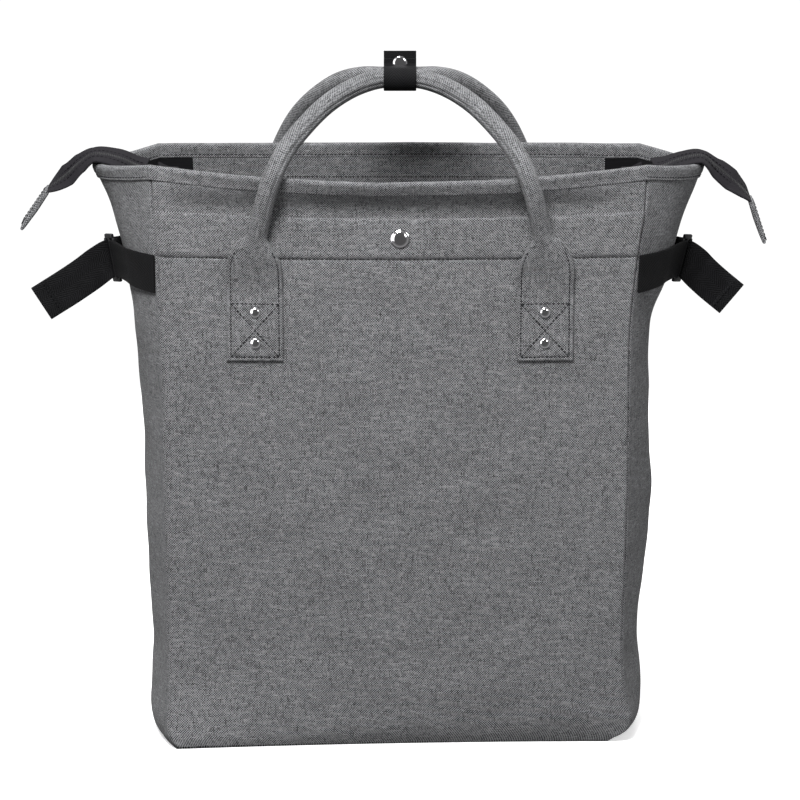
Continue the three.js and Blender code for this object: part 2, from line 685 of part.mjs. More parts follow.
/** The wrap's middle line in the Y-Z plane: round both handles, with an upstanding tab at each end. */
function wrapLine() {
  const apart = (HANDLE_DIAMETER + HANDLE_GAP) / 2;
  const tabApart = (SNAP_THICKNESS + WRAP_CLOTH) / 2 + LAYER_GAP;
  const steps = 8;
  const bend = (side, from, to) =>
    Array.from({ length: steps + 1 }, (_, i) => {
      const angle = lerp(from, to, i / steps);
      const out = apart + WRAP_RADIUS * Math.sin(angle);
      return new THREE.Vector2(side * out, HANDLE_APEX_Z + WRAP_RADIUS * Math.cos(angle));
    });
  const tab = (side, height) => [
    new THREE.Vector2(side * tabApart, WRAP_CROWN + height),
    new THREE.Vector2(side * tabApart, WRAP_CROWN + WRAP_TAB_FOOT),
    new THREE.Vector2(side * (tabApart + WRAP_TAB_FOOT / 2), WRAP_CROWN + WRAP_TAB_FOOT / 4),
  ];
  return [
    ...tab(1, WRAP_BACK_TAB),
    ...bend(1, 0, Math.PI),
    ...bend(-1, Math.PI, 0),
    ...tab(-1, WRAP_FRONT_TAB).reverse(),
  ];
}

/** The webbing wrap that holds the two handles together, and the snap between its upstanding ends. */
function buildHandleWrap() {
  const outline = stripShape(wrapLine(), WRAP_CLOTH);
  const geometry = new THREE.ExtrudeGeometry(outline, { depth: WRAP_WIDTH, bevelEnabled: false });
  geometry.translate(0, 0, -WRAP_WIDTH / 2);
  // The outline is drawn in the Y-Z plane, so the extrusion runs along X
  const [x, y, z] = [new THREE.Vector3(1, 0, 0), new THREE.Vector3(0, 1, 0), new THREE.Vector3(0, 0, 1)];
  geometry.applyMatrix4(new THREE.Matrix4().makeBasis(y, z, x));
  piece("handle_wrap", geometry, materials.webbing);
  const reach = SNAP_THICKNESS / 2;
  const profile = [
    { share: 0, rise: -reach },
    { share: 0.7, rise: -reach },
    { share: 1, rise: -reach / 2 },
    { share: 1, rise: reach / 2 },
    { share: 0.7, rise: reach },
    { share: 0, rise: reach },
  ].map(({ share, rise }) => new THREE.Vector2(share * SNAP_RADIUS, rise));
  const seat = new THREE.Vector3(0, 0, WRAP_CROWN + SNAP_LIFT);
  turnedPiece("wrap_snap", profile, seat, y, materials.steel);
}

/**
 * A flat ribbon through rows of {at, across, thick}: its middle, the direction of its width and its
 * thickness there, smoothed between rows.
 */
function ribbon(rows, width, steps) {
  const centres = new THREE.CatmullRomCurve3(rows.map(({ at }) => at), false, "centripetal");
  const widths = new THREE.CatmullRomCurve3(rows.map(({ across }) => across.clone().normalize()));
  const sections = [];
  for (let i = 0; i <= steps; i += 1) {
    const t = i / steps;
    const row = t * (rows.length - 1);
    const low = Math.min(Math.floor(row), rows.length - 2);
    const thick = lerp(rows[low].thick, rows[low + 1].thick, row - low);
    const centre = centres.getPoint(t);
    const across = widths.getPoint(t).normalize();
    const face = new THREE.Vector3().crossVectors(centres.getTangent(t), across).normalize();
    const corner = (w, h) =>
      centre
        .clone()
        .addScaledVector(across, (w * width) / 2)
        .addScaledVector(face, (h * thick) / 2);
    sections.push([corner(-1, 1), corner(1, 1), corner(1, -1), corner(-1, -1)]);
  }
  return loft(sections);
}

/** A flat frame of bars and slots: x runs across the bars from the first one's outer edge. */
function slottedFrame({ bars, bar, slot, slotLength, margin, thickness, corner }) {
  const width = bars * bar + (bars - 1) * slot;
  const half = slotLength / 2 + margin;
  const plate = new THREE.Shape([
    new THREE.Vector2(0, corner - half),
    new THREE.Vector2(corner, -half),
    new THREE.Vector2(width - corner, -half),
    new THREE.Vector2(width, corner - half),
    new THREE.Vector2(width, half - corner),
    new THREE.Vector2(width - corner, half),
    new THREE.Vector2(corner, half),
    new THREE.Vector2(0, half - corner),
  ]);
  const solid = new THREE.ExtrudeGeometry(plate, { depth: thickness, bevelEnabled: false });
  solid.translate(0, 0, -thickness / 2);
  const slots = [];
  for (let i = 1; i < bars; i += 1) {
    const middle = i * (bar + slot) - slot / 2;
    slots.push(new THREE.BoxGeometry(slot, slotLength, 2 * thickness).translate(middle, 0, 0));
  }
  return cut(solid, slots);
}

// Each side strap's free end from the buckle to its tip: along is the share of its length, swing how
// far it has swung from the buckle's face to its own slope, turn how far its width has turned with it,
// and folds how many times the webbing lies on itself.
const SIDE_TAIL = [
  { along: 0.14, swing: 0.55, turn: 0.35, folds: 1 },
  { along: 0.3, swing: 0.8, turn: 0.75, folds: 1 },
  { along: 0.5, swing: 0.95, turn: 0.93, folds: 1 },
  { along: 0.68, swing: 1, turn: 1, folds: 1 },
  { along: 0.8, swing: 1, turn: 1, folds: 1 },
  { along: 0.82, swing: 1, turn: 1, folds: 2.2 },
  { along: 1.0, swing: 1, turn: 1, folds: 2.2 },
];
const SIDES = [
  { name: "left", sign: -1, tailLength: 64, tailSlope: 0.63 },
  { name: "right", sign: 1, tailLength: 47, tailSlope: 0.82 },
];

/** A gusset at its webbing's height: points beside it, its slope, and ribbon rows that lie on it. */
function gussetAtStrap({ name, sign }) {
  const halfDepth = Math.abs(bodyPoint(name, 1, SIDE_STRAP_Z / BODY_HEIGHT).y);
  const onGusset = (y, z = SIDE_STRAP_Z) => bodyPoint(name, (sign * y) / halfDepth, z / BODY_HEIGHT);
  const high = SIDE_STRAP_Z + WEBBING_WIDTH / 2;
  const low = SIDE_STRAP_Z - WEBBING_WIDTH / 2;
  const outside = (y, gap) => {
    const along = onGusset(y + 1).sub(onGusset(y - 1));
    return onGusset(y).addScaledVector(new THREE.Vector3(along.y, -along.x, 0).normalize(), sign * gap);
  };
  const slope = (y) => onGusset(y, high).sub(onGusset(y, low)).normalize();
  const wallRow = (k) => {
    const y = k * halfDepth;
    const middle = onGusset(y, high).lerp(onGusset(y, low), 0.5);
    const out = outside(y, STRAP_STANDOFF + WEBBING / 2).sub(onGusset(y));
    return { at: middle.add(out), across: slope(y), thick: WEBBING };
  };
  return { outside, wallRow, upward: slope(0) };
}

/** The buckle's frame beside its gusset, oblique to it: its bars run upward, and it swings outward. */
function buckleFrame({ outside, upward }, sign) {
  const level = new THREE.Vector3(sign * Math.cos(BUCKLE_SWING), Math.sin(BUCKLE_SWING), 0);
  level.addScaledVector(upward, -level.dot(upward)).normalize();
  const face = new THREE.Vector3().crossVectors(level, upward);
  const outward = face.clone().multiplyScalar(Math.sign(face.x * sign));
  const foot = outside(BUCKLE_Y, BUCKLE_STANDOFF);
  const beside = (along, out) => foot.clone().addScaledVector(level, along).addScaledVector(outward, out);
  const row = (along, out) => ({ at: beside(along, out), across: upward, thick: WEBBING });
  const place = new THREE.Matrix4().makeBasis(level, upward, face).setPosition(foot);
  return { upward, outward, beside, row, place };
}

/** The plastic buckle of a gusset. */
function buildSideBuckle(name, frame) {
  const buckle = slottedFrame({
    bars: 3,
    bar: BUCKLE_BAR,
    slot: BUCKLE_SLOT,
    slotLength: WEBBING_WIDTH + SLOT_PLAY,
    margin: BUCKLE_MARGIN,
    thickness: BUCKLE_THICKNESS,
    corner: BUCKLE_CORNER,
  });
  piece(`side_buckle_${name}`, buckle.applyMatrix4(frame.place), materials.plastic);
}

/** The band that is sewn into the front seam, lies on the gusset and loops round the first bar. */
function buildSideBand(name, gusset, frame) {
  const radius = Math.hypot(BUCKLE_BAR, BUCKLE_THICKNESS) / 2 + LAYER_GAP + WEBBING / 2;
  const flat = [-0.975, -0.85, -0.7, -0.5, -0.25].map(gusset.wallRow);
  const loop = [0.62, 0.4, 0.2, 0, -0.2, -0.4, -0.6].map((turn) => {
    const angle = turn * Math.PI;
    return frame.row(BUCKLE_BAR / 2 + radius * Math.cos(angle), radius * Math.sin(angle));
  });
  piece(`side_band_${name}`, ribbon([...flat, ...loop], WEBBING_WIDTH, BAND_STEPS), materials.webbing);
}

/** The hanging end of a side strap, from the buckle's face to its folded tip. */
function tailRows({ sign, tailLength, tailSlope }, frame, root) {
  const slope = Math.atan(tailSlope);
  const heading = new THREE.Vector3(sign * Math.cos(slope), 0, -Math.sin(slope));
  const across = new THREE.Vector3(sign * Math.sin(slope), 0, Math.cos(slope));
  return SIDE_TAIL.map(({ along, swing, turn, folds }) => {
    const at = root.clone().addScaledVector(heading, along * tailLength);
    at.addScaledVector(frame.outward.clone().sub(heading), (1 - swing) * TAIL_BEND);
    at.z -= swing * TAIL_DROOP;
    return { at, across: frame.upward.clone().lerp(across, turn), thick: WEBBING * folds };
  });
}

/** The strap that is sewn into the back seam and runs out through the second slot to its tail. */
function buildSideStrap(side, gusset, frame) {
  const slotAlong = 2 * BUCKLE_BAR + 1.5 * BUCKLE_SLOT;
  const farSide = 3 * BUCKLE_BAR + 2 * BUCKLE_SLOT;
  const under = BUCKLE_THICKNESS / 2 + LAYER_GAP + WEBBING / 2;
  const rear = [0.975, 0.85, 0.7, 0.5].map(gusset.wallRow);
  const threaded = [
    frame.row(farSide + 1, -under - 1),
    frame.row(slotAlong + 0.6, -under + 0.5),
    frame.row(slotAlong, 0),
    frame.row(slotAlong - 0.1, under),
  ];
  const tail = tailRows(side, frame, frame.beside(slotAlong, under));
  const strap = ribbon([...rear, ...threaded, ...tail], WEBBING_WIDTH, STRAP_STEPS);
  piece(`side_strap_${side.name}`, strap, materials.webbing);
}

/** A gusset's webbing with its buckle. */
function buildSideWebbing(side) {
  const gusset = gussetAtStrap(side);
  const frame = buckleFrame(gusset, side.sign);
  buildSideBuckle(side.name, frame);
  buildSideBand(side.name, gusset, frame);
  buildSideStrap(side, gusset, frame);
}

// Where the half tapes are sewn to the plackets, as shares of the placket's half length, and how far
// along their free ends the rows lie
const TAPE_SHARES = [0.2, 0.4, 0.6, 0.8, 0.94];
const FREE_TAPE_SHARES = [0.3, 0.62, 0.9, 1];

// The closed zip outside the mouth, from its slider to the sewn end, as shares of its reach: out is
// measured from its start, back from the bag's middle and rise from the rim. Roll is the angle by which
// the rear edge is lifted.
const TAIL_ROUTE = {
  left: [
    { out: 0, back: -0.05, rise: -0.16, roll: 0.5 },
    { out: 0.148, back: -0.025, rise: -0.111, roll: 0.42 },
    { out: 0.333, back: 0, rise: -0.037, roll: 0.34 },
    { out: 0.556, back: 0, rise: -0.006, roll: 0.22 },
    { out: 0.691, back: -0.012, rise: -0.086, roll: 0.5 },
    { out: 0.815, back: -0.025, rise: -0.198, roll: 0.62 },
    { out: 0.926, back: -0.025, rise: -0.284, roll: 0.3 },
    { out: 1, back: -0.025, rise: -0.333, roll: 0.05 },
  ],
  right: [
    { out: 0, back: -0.05, rise: -0.16, roll: 0.5 },
    { out: 0.16, back: -0.025, rise: -0.111, roll: 0.4 },
    { out: 0.346, back: 0, rise: -0.043, roll: 0.25 },
    { out: 0.519, back: 0, rise: -0.025, roll: 0.2 },
    { out: 0.667, back: -0.012, rise: -0.136, roll: 0.5 },
    { out: 0.802, back: -0.025, rise: -0.247, roll: 0.62 },
    { out: 0.926, back: -0.025, rise: -0.358, roll: 0.35 },
    { out: 0.988, back: -0.025, rise: -0.432, roll: 0.05 },
  ],
};

// How far each end tab leads on outward and down, as shares of the zip's reach outside
const END_TABS = {
  left: { reach: 0.259, drop: 0.37 },
  right: { reach: 0.136, drop: 0.407 },
};

/** The cloth placket that hangs inside a panel below its hem. */
function buildPlacket(panel) {
  const top = HEM_FOOT - LAYER_GAP;
  const inner = PLACKET_OUTER + PLACKET_CLOTH;
  const layer = panelLayer(panel, { bottom: top - PLACKET_HEIGHT, top, outer: PLACKET_OUTER, inner });
  const span = new THREE.BoxGeometry(2 * PLACKET_HALF_LENGTH, 4 * HALF_DEPTH, 2 * BODY_HEIGHT);
  piece(`placket_${panel}`, common(layer, span), materials.heather);
}

/** A point of the closed zip outside the mouth, on the left (-1) or the right (1). */
function tailPoint(sign, { out, back, rise }) {
  const x = SEAM_HALF_WIDTH + ZIP_TAIL_START + out * ZIP_TAIL_REACH;
  return new THREE.Vector3(sign * x, back * ZIP_TAIL_REACH, BODY_HEIGHT + rise * ZIP_TAIL_REACH);
}

/** A half of the open zip: along its placket's lower edge, then free to the sliders at both ends. */
function buildHalfTape(panel) {
  const facing = panel === "front" ? -1 : 1;
  const inset = PLACKET_OUTER + PLACKET_CLOTH + TAPE_STANDOFF + TAPE / 2;
  const sewn = (share) => {
    const tapeZ = HEM_FOOT - LAYER_GAP - PLACKET_HEIGHT;
    const { point, normal, upward } = seatOn(panel, share * PLACKET_HALF_LENGTH, tapeZ);
    return { at: point.addScaledVector(normal, -inset), across: upward, thick: TAPE };
  };
  const free = (sign) => {
    const end = tailPoint(sign, TAIL_ROUTE[sign < 0 ? "left" : "right"][0]);
    end.x -= sign * (SLIDER.length / 2 + SLIDER_GAP);
    end.y += facing * (TAPE_WIDTH / 2 + SLIDER_GAP / 2);
    const start = sewn(sign * TAPE_SHARES[TAPE_SHARES.length - 1]).at;
    return FREE_TAPE_SHARES.map((k) => ({
      at: start.clone().lerp(end, k),
      across: new THREE.Vector3(0, facing * TAPE_LEVEL * Math.pow(k, 1.5), 1 - k * (1 - TAPE_LEVEL / 2)),
      thick: TAPE,
    }));
  };
  const shares = [...TAPE_SHARES.map((k) => -k).reverse(), 0, ...TAPE_SHARES];
  const rows = [...free(-1).reverse(), ...shares.map(sewn), ...free(1)];
  piece(`zip_tape_${panel}`, ribbon(rows, TAPE_WIDTH, TAPE_STEPS), materials.zip);
}

/** The closed zip that hangs outside at one corner, from beside its slider to its sewn end. */
function buildZipTail(name, route, heading) {
  const start = route[0].at.clone().addScaledVector(heading, SLIDER.length / 2 + SEAM_GAP);
  const rows = [{ ...route[0], at: start }, ...route.slice(1)];
  piece(`zip_tail_${name}`, ribbon(rows, ZIP_TAIL_WIDTH, ZIP_TAIL_STEPS), materials.zip);
}

/** A slider: a small block on the zip's line, with its pull lying level toward the mouth's middle. */
function buildZipSlider(name, sign, first, heading) {
  const side = first.across.clone().normalize();
  const face = new THREE.Vector3().crossVectors(heading, side).normalize();
  const seat = first.at.clone().addScaledVector(heading, -LAYER_GAP);
  const body = new THREE.BoxGeometry(SLIDER.length, SLIDER.width, SLIDER.height);
  body.applyMatrix4(new THREE.Matrix4().makeBasis(heading, side, face).setPosition(seat));
  const pull = new THREE.BoxGeometry(SLIDER.pull, SLIDER.width / 2, SLIDER.height / 4);
  const pullX = seat.x - sign * (SLIDER.pull - SLIDER.bite) / 2;
  pull.translate(pullX, seat.y, seat.z + (SLIDER.height - SLIDER.bite / 5) / 2);
  piece(`zip_slider_${name}`, join(body, pull), materials.steel);
}

/** The cloth tab that is folded over the zip's sewn end. */
function buildZipEndTab(name, sign, last, heading) {
  const { reach, drop } = END_TABS[name];
  const start = last.at.clone().addScaledVector(heading, LAYER_GAP + 0.2);
  const lead = new THREE.Vector3(sign * reach, 0, -drop).multiplyScalar(ZIP_TAIL_REACH);
  const tip = start.clone().add(lead);
  const rows = [
    { along: 0, thick: END_TAB },
    { along: 0.5, thick: END_TAB },
    { along: 0.85, thick: END_TAB * 0.8 },
    { along: 1, thick: END_TAB * 0.5 },
  ].map(({ along, thick }) => ({ at: start.clone().lerp(tip, along), across: last.across, thick }));
  piece(`zip_end_tab_${name}`, ribbon(rows, END_TAB_WIDTH, 6), materials.heather);
}

/** The mouth zip: plackets and half tapes inside, sliders, and the closed ends with cloth tabs. */
function buildZip() {
  for (const panel of ["front", "back"]) {
    buildPlacket(panel);
    buildHalfTape(panel);
  }
  for (const { name, sign } of SIDES) {
    const route = TAIL_ROUTE[name].map((row) => ({
      at: tailPoint(sign, row),
      across: new THREE.Vector3(0, Math.cos(row.roll), Math.sin(row.roll)),
      thick: ZIP_TAIL,
    }));
    const heading = (from, to) => to.at.clone().sub(from.at).normalize();
    const [first, second] = route;
    const [beforeLast, last] = route.slice(-2);
    buildZipTail(name, route, heading(first, second));
    buildZipSlider(name, sign, first, heading(first, second));
    buildZipEndTab(name, sign, last, heading(beforeLast, last));
  }
}

// A shoulder strap's padded part from its top: side and drop are shares of its drop, off the share of
// the standoff by which its middle clears the back panel, width and thick shares of the pad's own.
const PAD_ROUTE = [
  { side: 0, drop: 0, off: 0.08, width: 0.86, thick: 0.3 },
  { side: 0.003, drop: 0.055, off: 0.113, width: 0.9, thick: 0.4 },
  { side: 0.01, drop: 0.137, off: 0.433, width: 0.96, thick: 0.85 },
  { side: 0.024, drop: 0.274, off: 0.733, width: 1, thick: 1 },
  { side: 0.048, drop: 0.479, off: 0.967, width: 1, thick: 1 },
  { side: 0.082, drop: 0.685, off: 1, width: 0.97, thick: 1 },
  { side: 0.13, drop: 0.842, off: 0.867, width: 0.88, thick: 0.9 },
  { side: 0.171, drop: 0.945, off: 0.733, width: 0.72, thick: 0.7 },
  { side: 0.195, drop: 1, off: 0.667, width: 0.6, thick: 0.4 },
];

/** The middle of a shoulder pad at one row of its table. */
function padPoint(sign, row) {
  const x = sign * (PAD_TOP_X + row.side * PAD_DROP);
  const { point, normal } = seatOn("back", x, PAD_TOP - row.drop * PAD_DROP);
  return point.addScaledVector(normal, row.off * PAD_STANDOFF);
}

/** The padded part of one shoulder strap. */
function buildShoulderPad({ name, sign }) {
  const middles = PAD_ROUTE.map((row) => padPoint(sign, row));
  const centres = new THREE.CatmullRomCurve3(middles, false, "centripetal");
  const sections = [];
  for (let i = 0; i <= PAD_STEPS; i += 1) {
    const t = i / PAD_STEPS;
    const row = t * (PAD_ROUTE.length - 1);
    const low = Math.min(Math.floor(row), PAD_ROUTE.length - 2);
    const share = (column) => lerp(PAD_ROUTE[low][column], PAD_ROUTE[low + 1][column], row - low);
    const tangent = centres.getTangent(t);
    const across = new THREE.Vector3(1, 0, 0).addScaledVector(tangent, -tangent.x).normalize();
    const outward = new THREE.Vector3().crossVectors(tangent, across);
    const width = PAD_WIDTH * share("width");
    const thick = PAD_THICKNESS * share("thick");
    sections.push(roundedSection({ centre: centres.getPoint(t), across, outward, width, thick, sides: 8 }));
  }
  piece(`shoulder_pad_${name}`, loft(sections), materials.heather);
}

/** The line from a pad's end down to where its webbing is sewn to the back panel's lower corner. */
function lowerStrapLine(sign) {
  const end = padPoint(sign, PAD_ROUTE[PAD_ROUTE.length - 1]);
  const anchorX = bodyPoint("back", -sign, LOWER_ANCHOR_Z / BODY_HEIGHT).x - sign * LOWER_ANCHOR_INSET;
  const seat = seatOn("back", anchorX, LOWER_ANCHOR_Z);
  const anchor = seat.point.addScaledVector(seat.normal, 2 * STRAP_STANDOFF + WEBBING / 2);
  const heading = anchor.clone().sub(end).normalize();
  const across = new THREE.Vector3(1, 0, 0).addScaledVector(heading, -heading.x).normalize();
  return { anchor, heading, across, top: end.addScaledVector(heading, ADJUSTER_GAP) };
}

/** The plastic adjuster that hangs from a pad's end. */
function buildAdjuster(name, { top, heading, across }) {
  const adjuster = slottedFrame({
    bars: 3,
    bar: ADJUSTER_BAR,
    slot: ADJUSTER_SLOT,
    slotLength: LOWER_WEBBING_WIDTH + SLOT_PLAY,
    margin: ADJUSTER_MARGIN,
    thickness: BUCKLE_THICKNESS,
    corner: BUCKLE_CORNER,
  });
  const face = new THREE.Vector3().crossVectors(heading, across);
  adjuster.applyMatrix4(new THREE.Matrix4().makeBasis(heading, across, face).setPosition(top));
  piece(`shoulder_adjuster_${name}`, adjuster, materials.plastic);
}

/** The lower webbing, slack between the adjuster's last bar and its anchor. */
function buildLowerWebbing(name, { anchor, top, heading, across }) {
  const adjusterLength = 3 * ADJUSTER_BAR + 2 * ADJUSTER_SLOT;
  const start = top.clone().addScaledVector(heading, adjusterLength + LAYER_GAP);
  const slack = new THREE.Vector3(0, LOWER_WEBBING_SLACK, 0);
  const above = anchor.clone().addScaledVector(heading, -LOWER_WEBBING_WIDTH).add(slack);
  const middle = start.clone().lerp(above, 0.5).add(slack);
  const rows = [start, middle, above, anchor].map((at) => ({ at, across, thick: WEBBING }));
  piece(`shoulder_webbing_${name}`, ribbon(rows, LOWER_WEBBING_WIDTH, 12), materials.webbing);
}

/** One padded shoulder strap on the back, its adjuster and its lower webbing. */
function buildShoulderStrap(side) {
  buildShoulderPad(side);
  const line = lowerStrapLine(side.sign);
  buildAdjuster(side.name, line);
  buildLowerWebbing(side.name, line);
}

buildBody();
buildLining();
buildRimHem();
buildFrontPocket();
buildHandle("front", FRONT_LEG, -POCKET_OUTER);
buildHandle("back", BACK_LEG, 0);
buildHandleWrap();
SIDES.forEach(buildSideWebbing);
buildZip();
SIDES.forEach(buildShoulderStrap);

export default pack;
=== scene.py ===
"""The looks of a convertible backpack in two-tone grey woven cloth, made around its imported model."""

import logging
import math
from collections.abc import Callable, Sequence
from dataclasses import dataclass, field
from enum import Enum

import bpy
import numpy as np
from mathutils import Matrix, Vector


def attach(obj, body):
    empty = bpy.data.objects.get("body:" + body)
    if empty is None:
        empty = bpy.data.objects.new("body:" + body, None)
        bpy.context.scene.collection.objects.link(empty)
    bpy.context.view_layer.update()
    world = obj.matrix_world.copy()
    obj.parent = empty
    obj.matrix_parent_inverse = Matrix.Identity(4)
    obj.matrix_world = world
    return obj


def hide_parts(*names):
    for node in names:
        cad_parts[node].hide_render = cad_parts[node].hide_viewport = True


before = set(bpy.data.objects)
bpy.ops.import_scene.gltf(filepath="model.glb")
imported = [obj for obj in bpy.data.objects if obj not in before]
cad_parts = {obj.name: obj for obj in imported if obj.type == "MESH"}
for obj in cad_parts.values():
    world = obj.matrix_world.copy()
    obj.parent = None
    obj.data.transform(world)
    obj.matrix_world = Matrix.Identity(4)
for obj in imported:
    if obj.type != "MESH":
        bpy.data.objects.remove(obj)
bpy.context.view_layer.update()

Array = np.ndarray
log = logging.getLogger("backpack")


def unit(vectors: Array) -> Array:
    """The vectors at length one."""
    return vectors / np.maximum(np.linalg.norm(vectors, axis=-1, keepdims=True), 1e-12)


def smooth(value: Array | float, low: float, high: float) -> Array:
    """A soft step from 0 at low to 1 at high."""
    t = np.clip((np.asarray(value, float) - low) / (high - low), 0, 1)
    return t * t * (3 - 2 * t)


def lerp(a: Array | float, b: Array | float, t: Array | float) -> Array:
    """The value a share t of the way from a to b."""
    return a + (b - a) * t


def steps(
    low: float, high: float, step: float, fine: Sequence[float] = (), reach: float = 0.0024
) -> Array:
    """Positions from low to high, closer together round the fine ones.

    Args:
        low: first position.
        high: last position.
        step: the plain spacing.
        fine: positions that need closer spacing, such as seams and stitch lines.
        reach: how far on each side of them the closer spacing goes.

    Returns:
        The sorted positions.
    """
    plain = np.linspace(low, high, max(2, round((high - low) / step) + 1))
    near = [place + share * reach for place in fine for share in (-1, -0.5, -0.25, 0, 0.25, 0.5, 1)]
    near = np.array([place for place in near if low < place < high])
    if len(near):
        far = np.abs(plain[:, None] - near[None]).min(axis=1) > reach / 5
        far[[0, -1]] = True
        plain = np.concatenate([plain[far], near])
    plain = np.unique(np.round(plain, 6))
    keep = np.concatenate([[True], np.diff(plain) > 5e-5])
    return plain[keep]


def lengths(points: Array) -> Array:
    """The distance along a line of points, from 0 at its first."""
    return np.concatenate([[0], np.cumsum(np.linalg.norm(np.diff(points, axis=0), axis=1))])


def points_at(places: Array, knots: Array, points: Array | Sequence[Array]) -> Array:
    """Points, or directions, of a line at places along it.

    Args:
        places: where on the line.
        knots: the place of each known point.
        points: the known points.

    Returns:
        One point for each place.
    """
    return np.stack([np.interp(places, knots, np.asarray(points)[:, k]) for k in range(3)], 1)


def spline(points: Array, places: Array) -> Array:
    """A centripetal curve through points.

    Args:
        points: the points that it goes through.
        places: where on it, from 0 at the first point to 1 at the last.

    Returns:
        The points of the curve.
    """
    points = np.asarray(points, float)
    last = len(points) - 1
    ends = np.vstack([2 * points[0] - points[1], points, 2 * points[-1] - points[-2]])
    at = np.clip(places, 0, 1) * last
    low = np.minimum(at.astype(int), last - 1)
    t = (at - low)[:, None]
    p0, p1, p2, p3 = (ends[low + k] for k in range(4))
    gap0, gap1, gap2 = (
        np.maximum(np.linalg.norm(b - a, axis=1, keepdims=True) ** 0.5, 1e-6)
        for a, b in ((p0, p1), (p1, p2), (p2, p3))
    )
    m1 = ((p1 - p0) / gap0 - (p2 - p0) / (gap0 + gap1) + (p2 - p1) / gap1) * gap1
    m2 = ((p2 - p1) / gap1 - (p3 - p1) / (gap1 + gap2) + (p3 - p2) / gap2) * gap1
    return (
        p1 + m1 * t + (3 * (p2 - p1) - 2 * m1 - m2) * t**2 + (2 * (p1 - p2) + m1 + m2) * t**3
    )


def table_curve(heights: Array, values: Array, at: Array) -> Array:
    """A smooth curve through a table's rows, with centred slopes.

    Args:
        heights: each row's place, rising from 0 to 1.
        values: each row's value.
        at: the places that are asked for.

    Returns:
        The values there.
    """
    last = len(heights) - 1
    at = np.clip(at, 0, 1)
    low = np.clip(np.searchsorted(heights, at, side="left") - 1, 0, last - 1)
    before, after = np.maximum(np.arange(last + 1) - 1, 0), np.minimum(np.arange(last + 1) + 1, last)
    slope = (values[after] - values[before]) / (heights[after] - heights[before])
    span = heights[low + 1] - heights[low]
    s = (at - heights[low]) / span
    return (
        (2 * s**3 - 3 * s**2 + 1) * values[low]
        + (s**3 - 2 * s**2 + s) * span * slope[low]
        + (3 * s**2 - 2 * s**3) * values[low + 1]
        + (s**3 - s**2) * span * slope[low + 1]
    )


def make_mesh(
    name: str,
    vertices: Array,
    faces: list,
    corner_uvs: Array,
    material: bpy.types.Material,
    sharp: float = 38.0,
) -> bpy.types.Object:
    """A mesh object with texture coordinates in metres.

    Args:
        name: the piece's name.
        vertices: its points.
        faces: the point numbers of each face.
        corner_uvs: one coordinate pair for each corner of each face, in order.
        material: its finish.
        sharp: edges that turn by more than this many degrees stay sharp.

    Returns:
        The object, linked to the scene.
    """
    mesh = bpy.data.meshes.new(name)
    mesh.from_pydata(np.asarray(vertices).tolist(), [], faces)
    layer = mesh.uv_layers.new(name="UVMap")
    layer.uv.foreach_set("vector", np.asarray(corner_uvs, float).ravel())
    mesh.materials.append(material)
    mesh.polygons.foreach_set("use_smooth", [True] * len(mesh.polygons))
    mesh.set_sharp_from_angle(angle=math.radians(sharp))
    mesh.update()
    piece = bpy.data.objects.new(name, mesh)
    bpy.context.scene.collection.objects.link(piece)
    return piece


def signed_volume(vertices: Array, faces: list) -> float:
    """The volume that a mesh's faces close, negative if they face inward.

    Args:
        vertices: its points.
        faces: the point numbers of each face.

    Returns:
        The volume in cubic metres.
    """
    total = 0.0
    quads = np.array([f for f in faces if len(f) == 4], int).reshape(-1, 4)
    tris = np.array([f for f in faces if len(f) == 3], int).reshape(-1, 3)
    for a, b, c in (
        (quads[:, 0], quads[:, 1], quads[:, 2]),
        (quads[:, 0], quads[:, 2], quads[:, 3]),
        (tris[:, 0], tris[:, 1], tris[:, 2]),
    ):
        total += float((vertices[a] * np.cross(vertices[b], vertices[c])).sum() / 6)
    return total


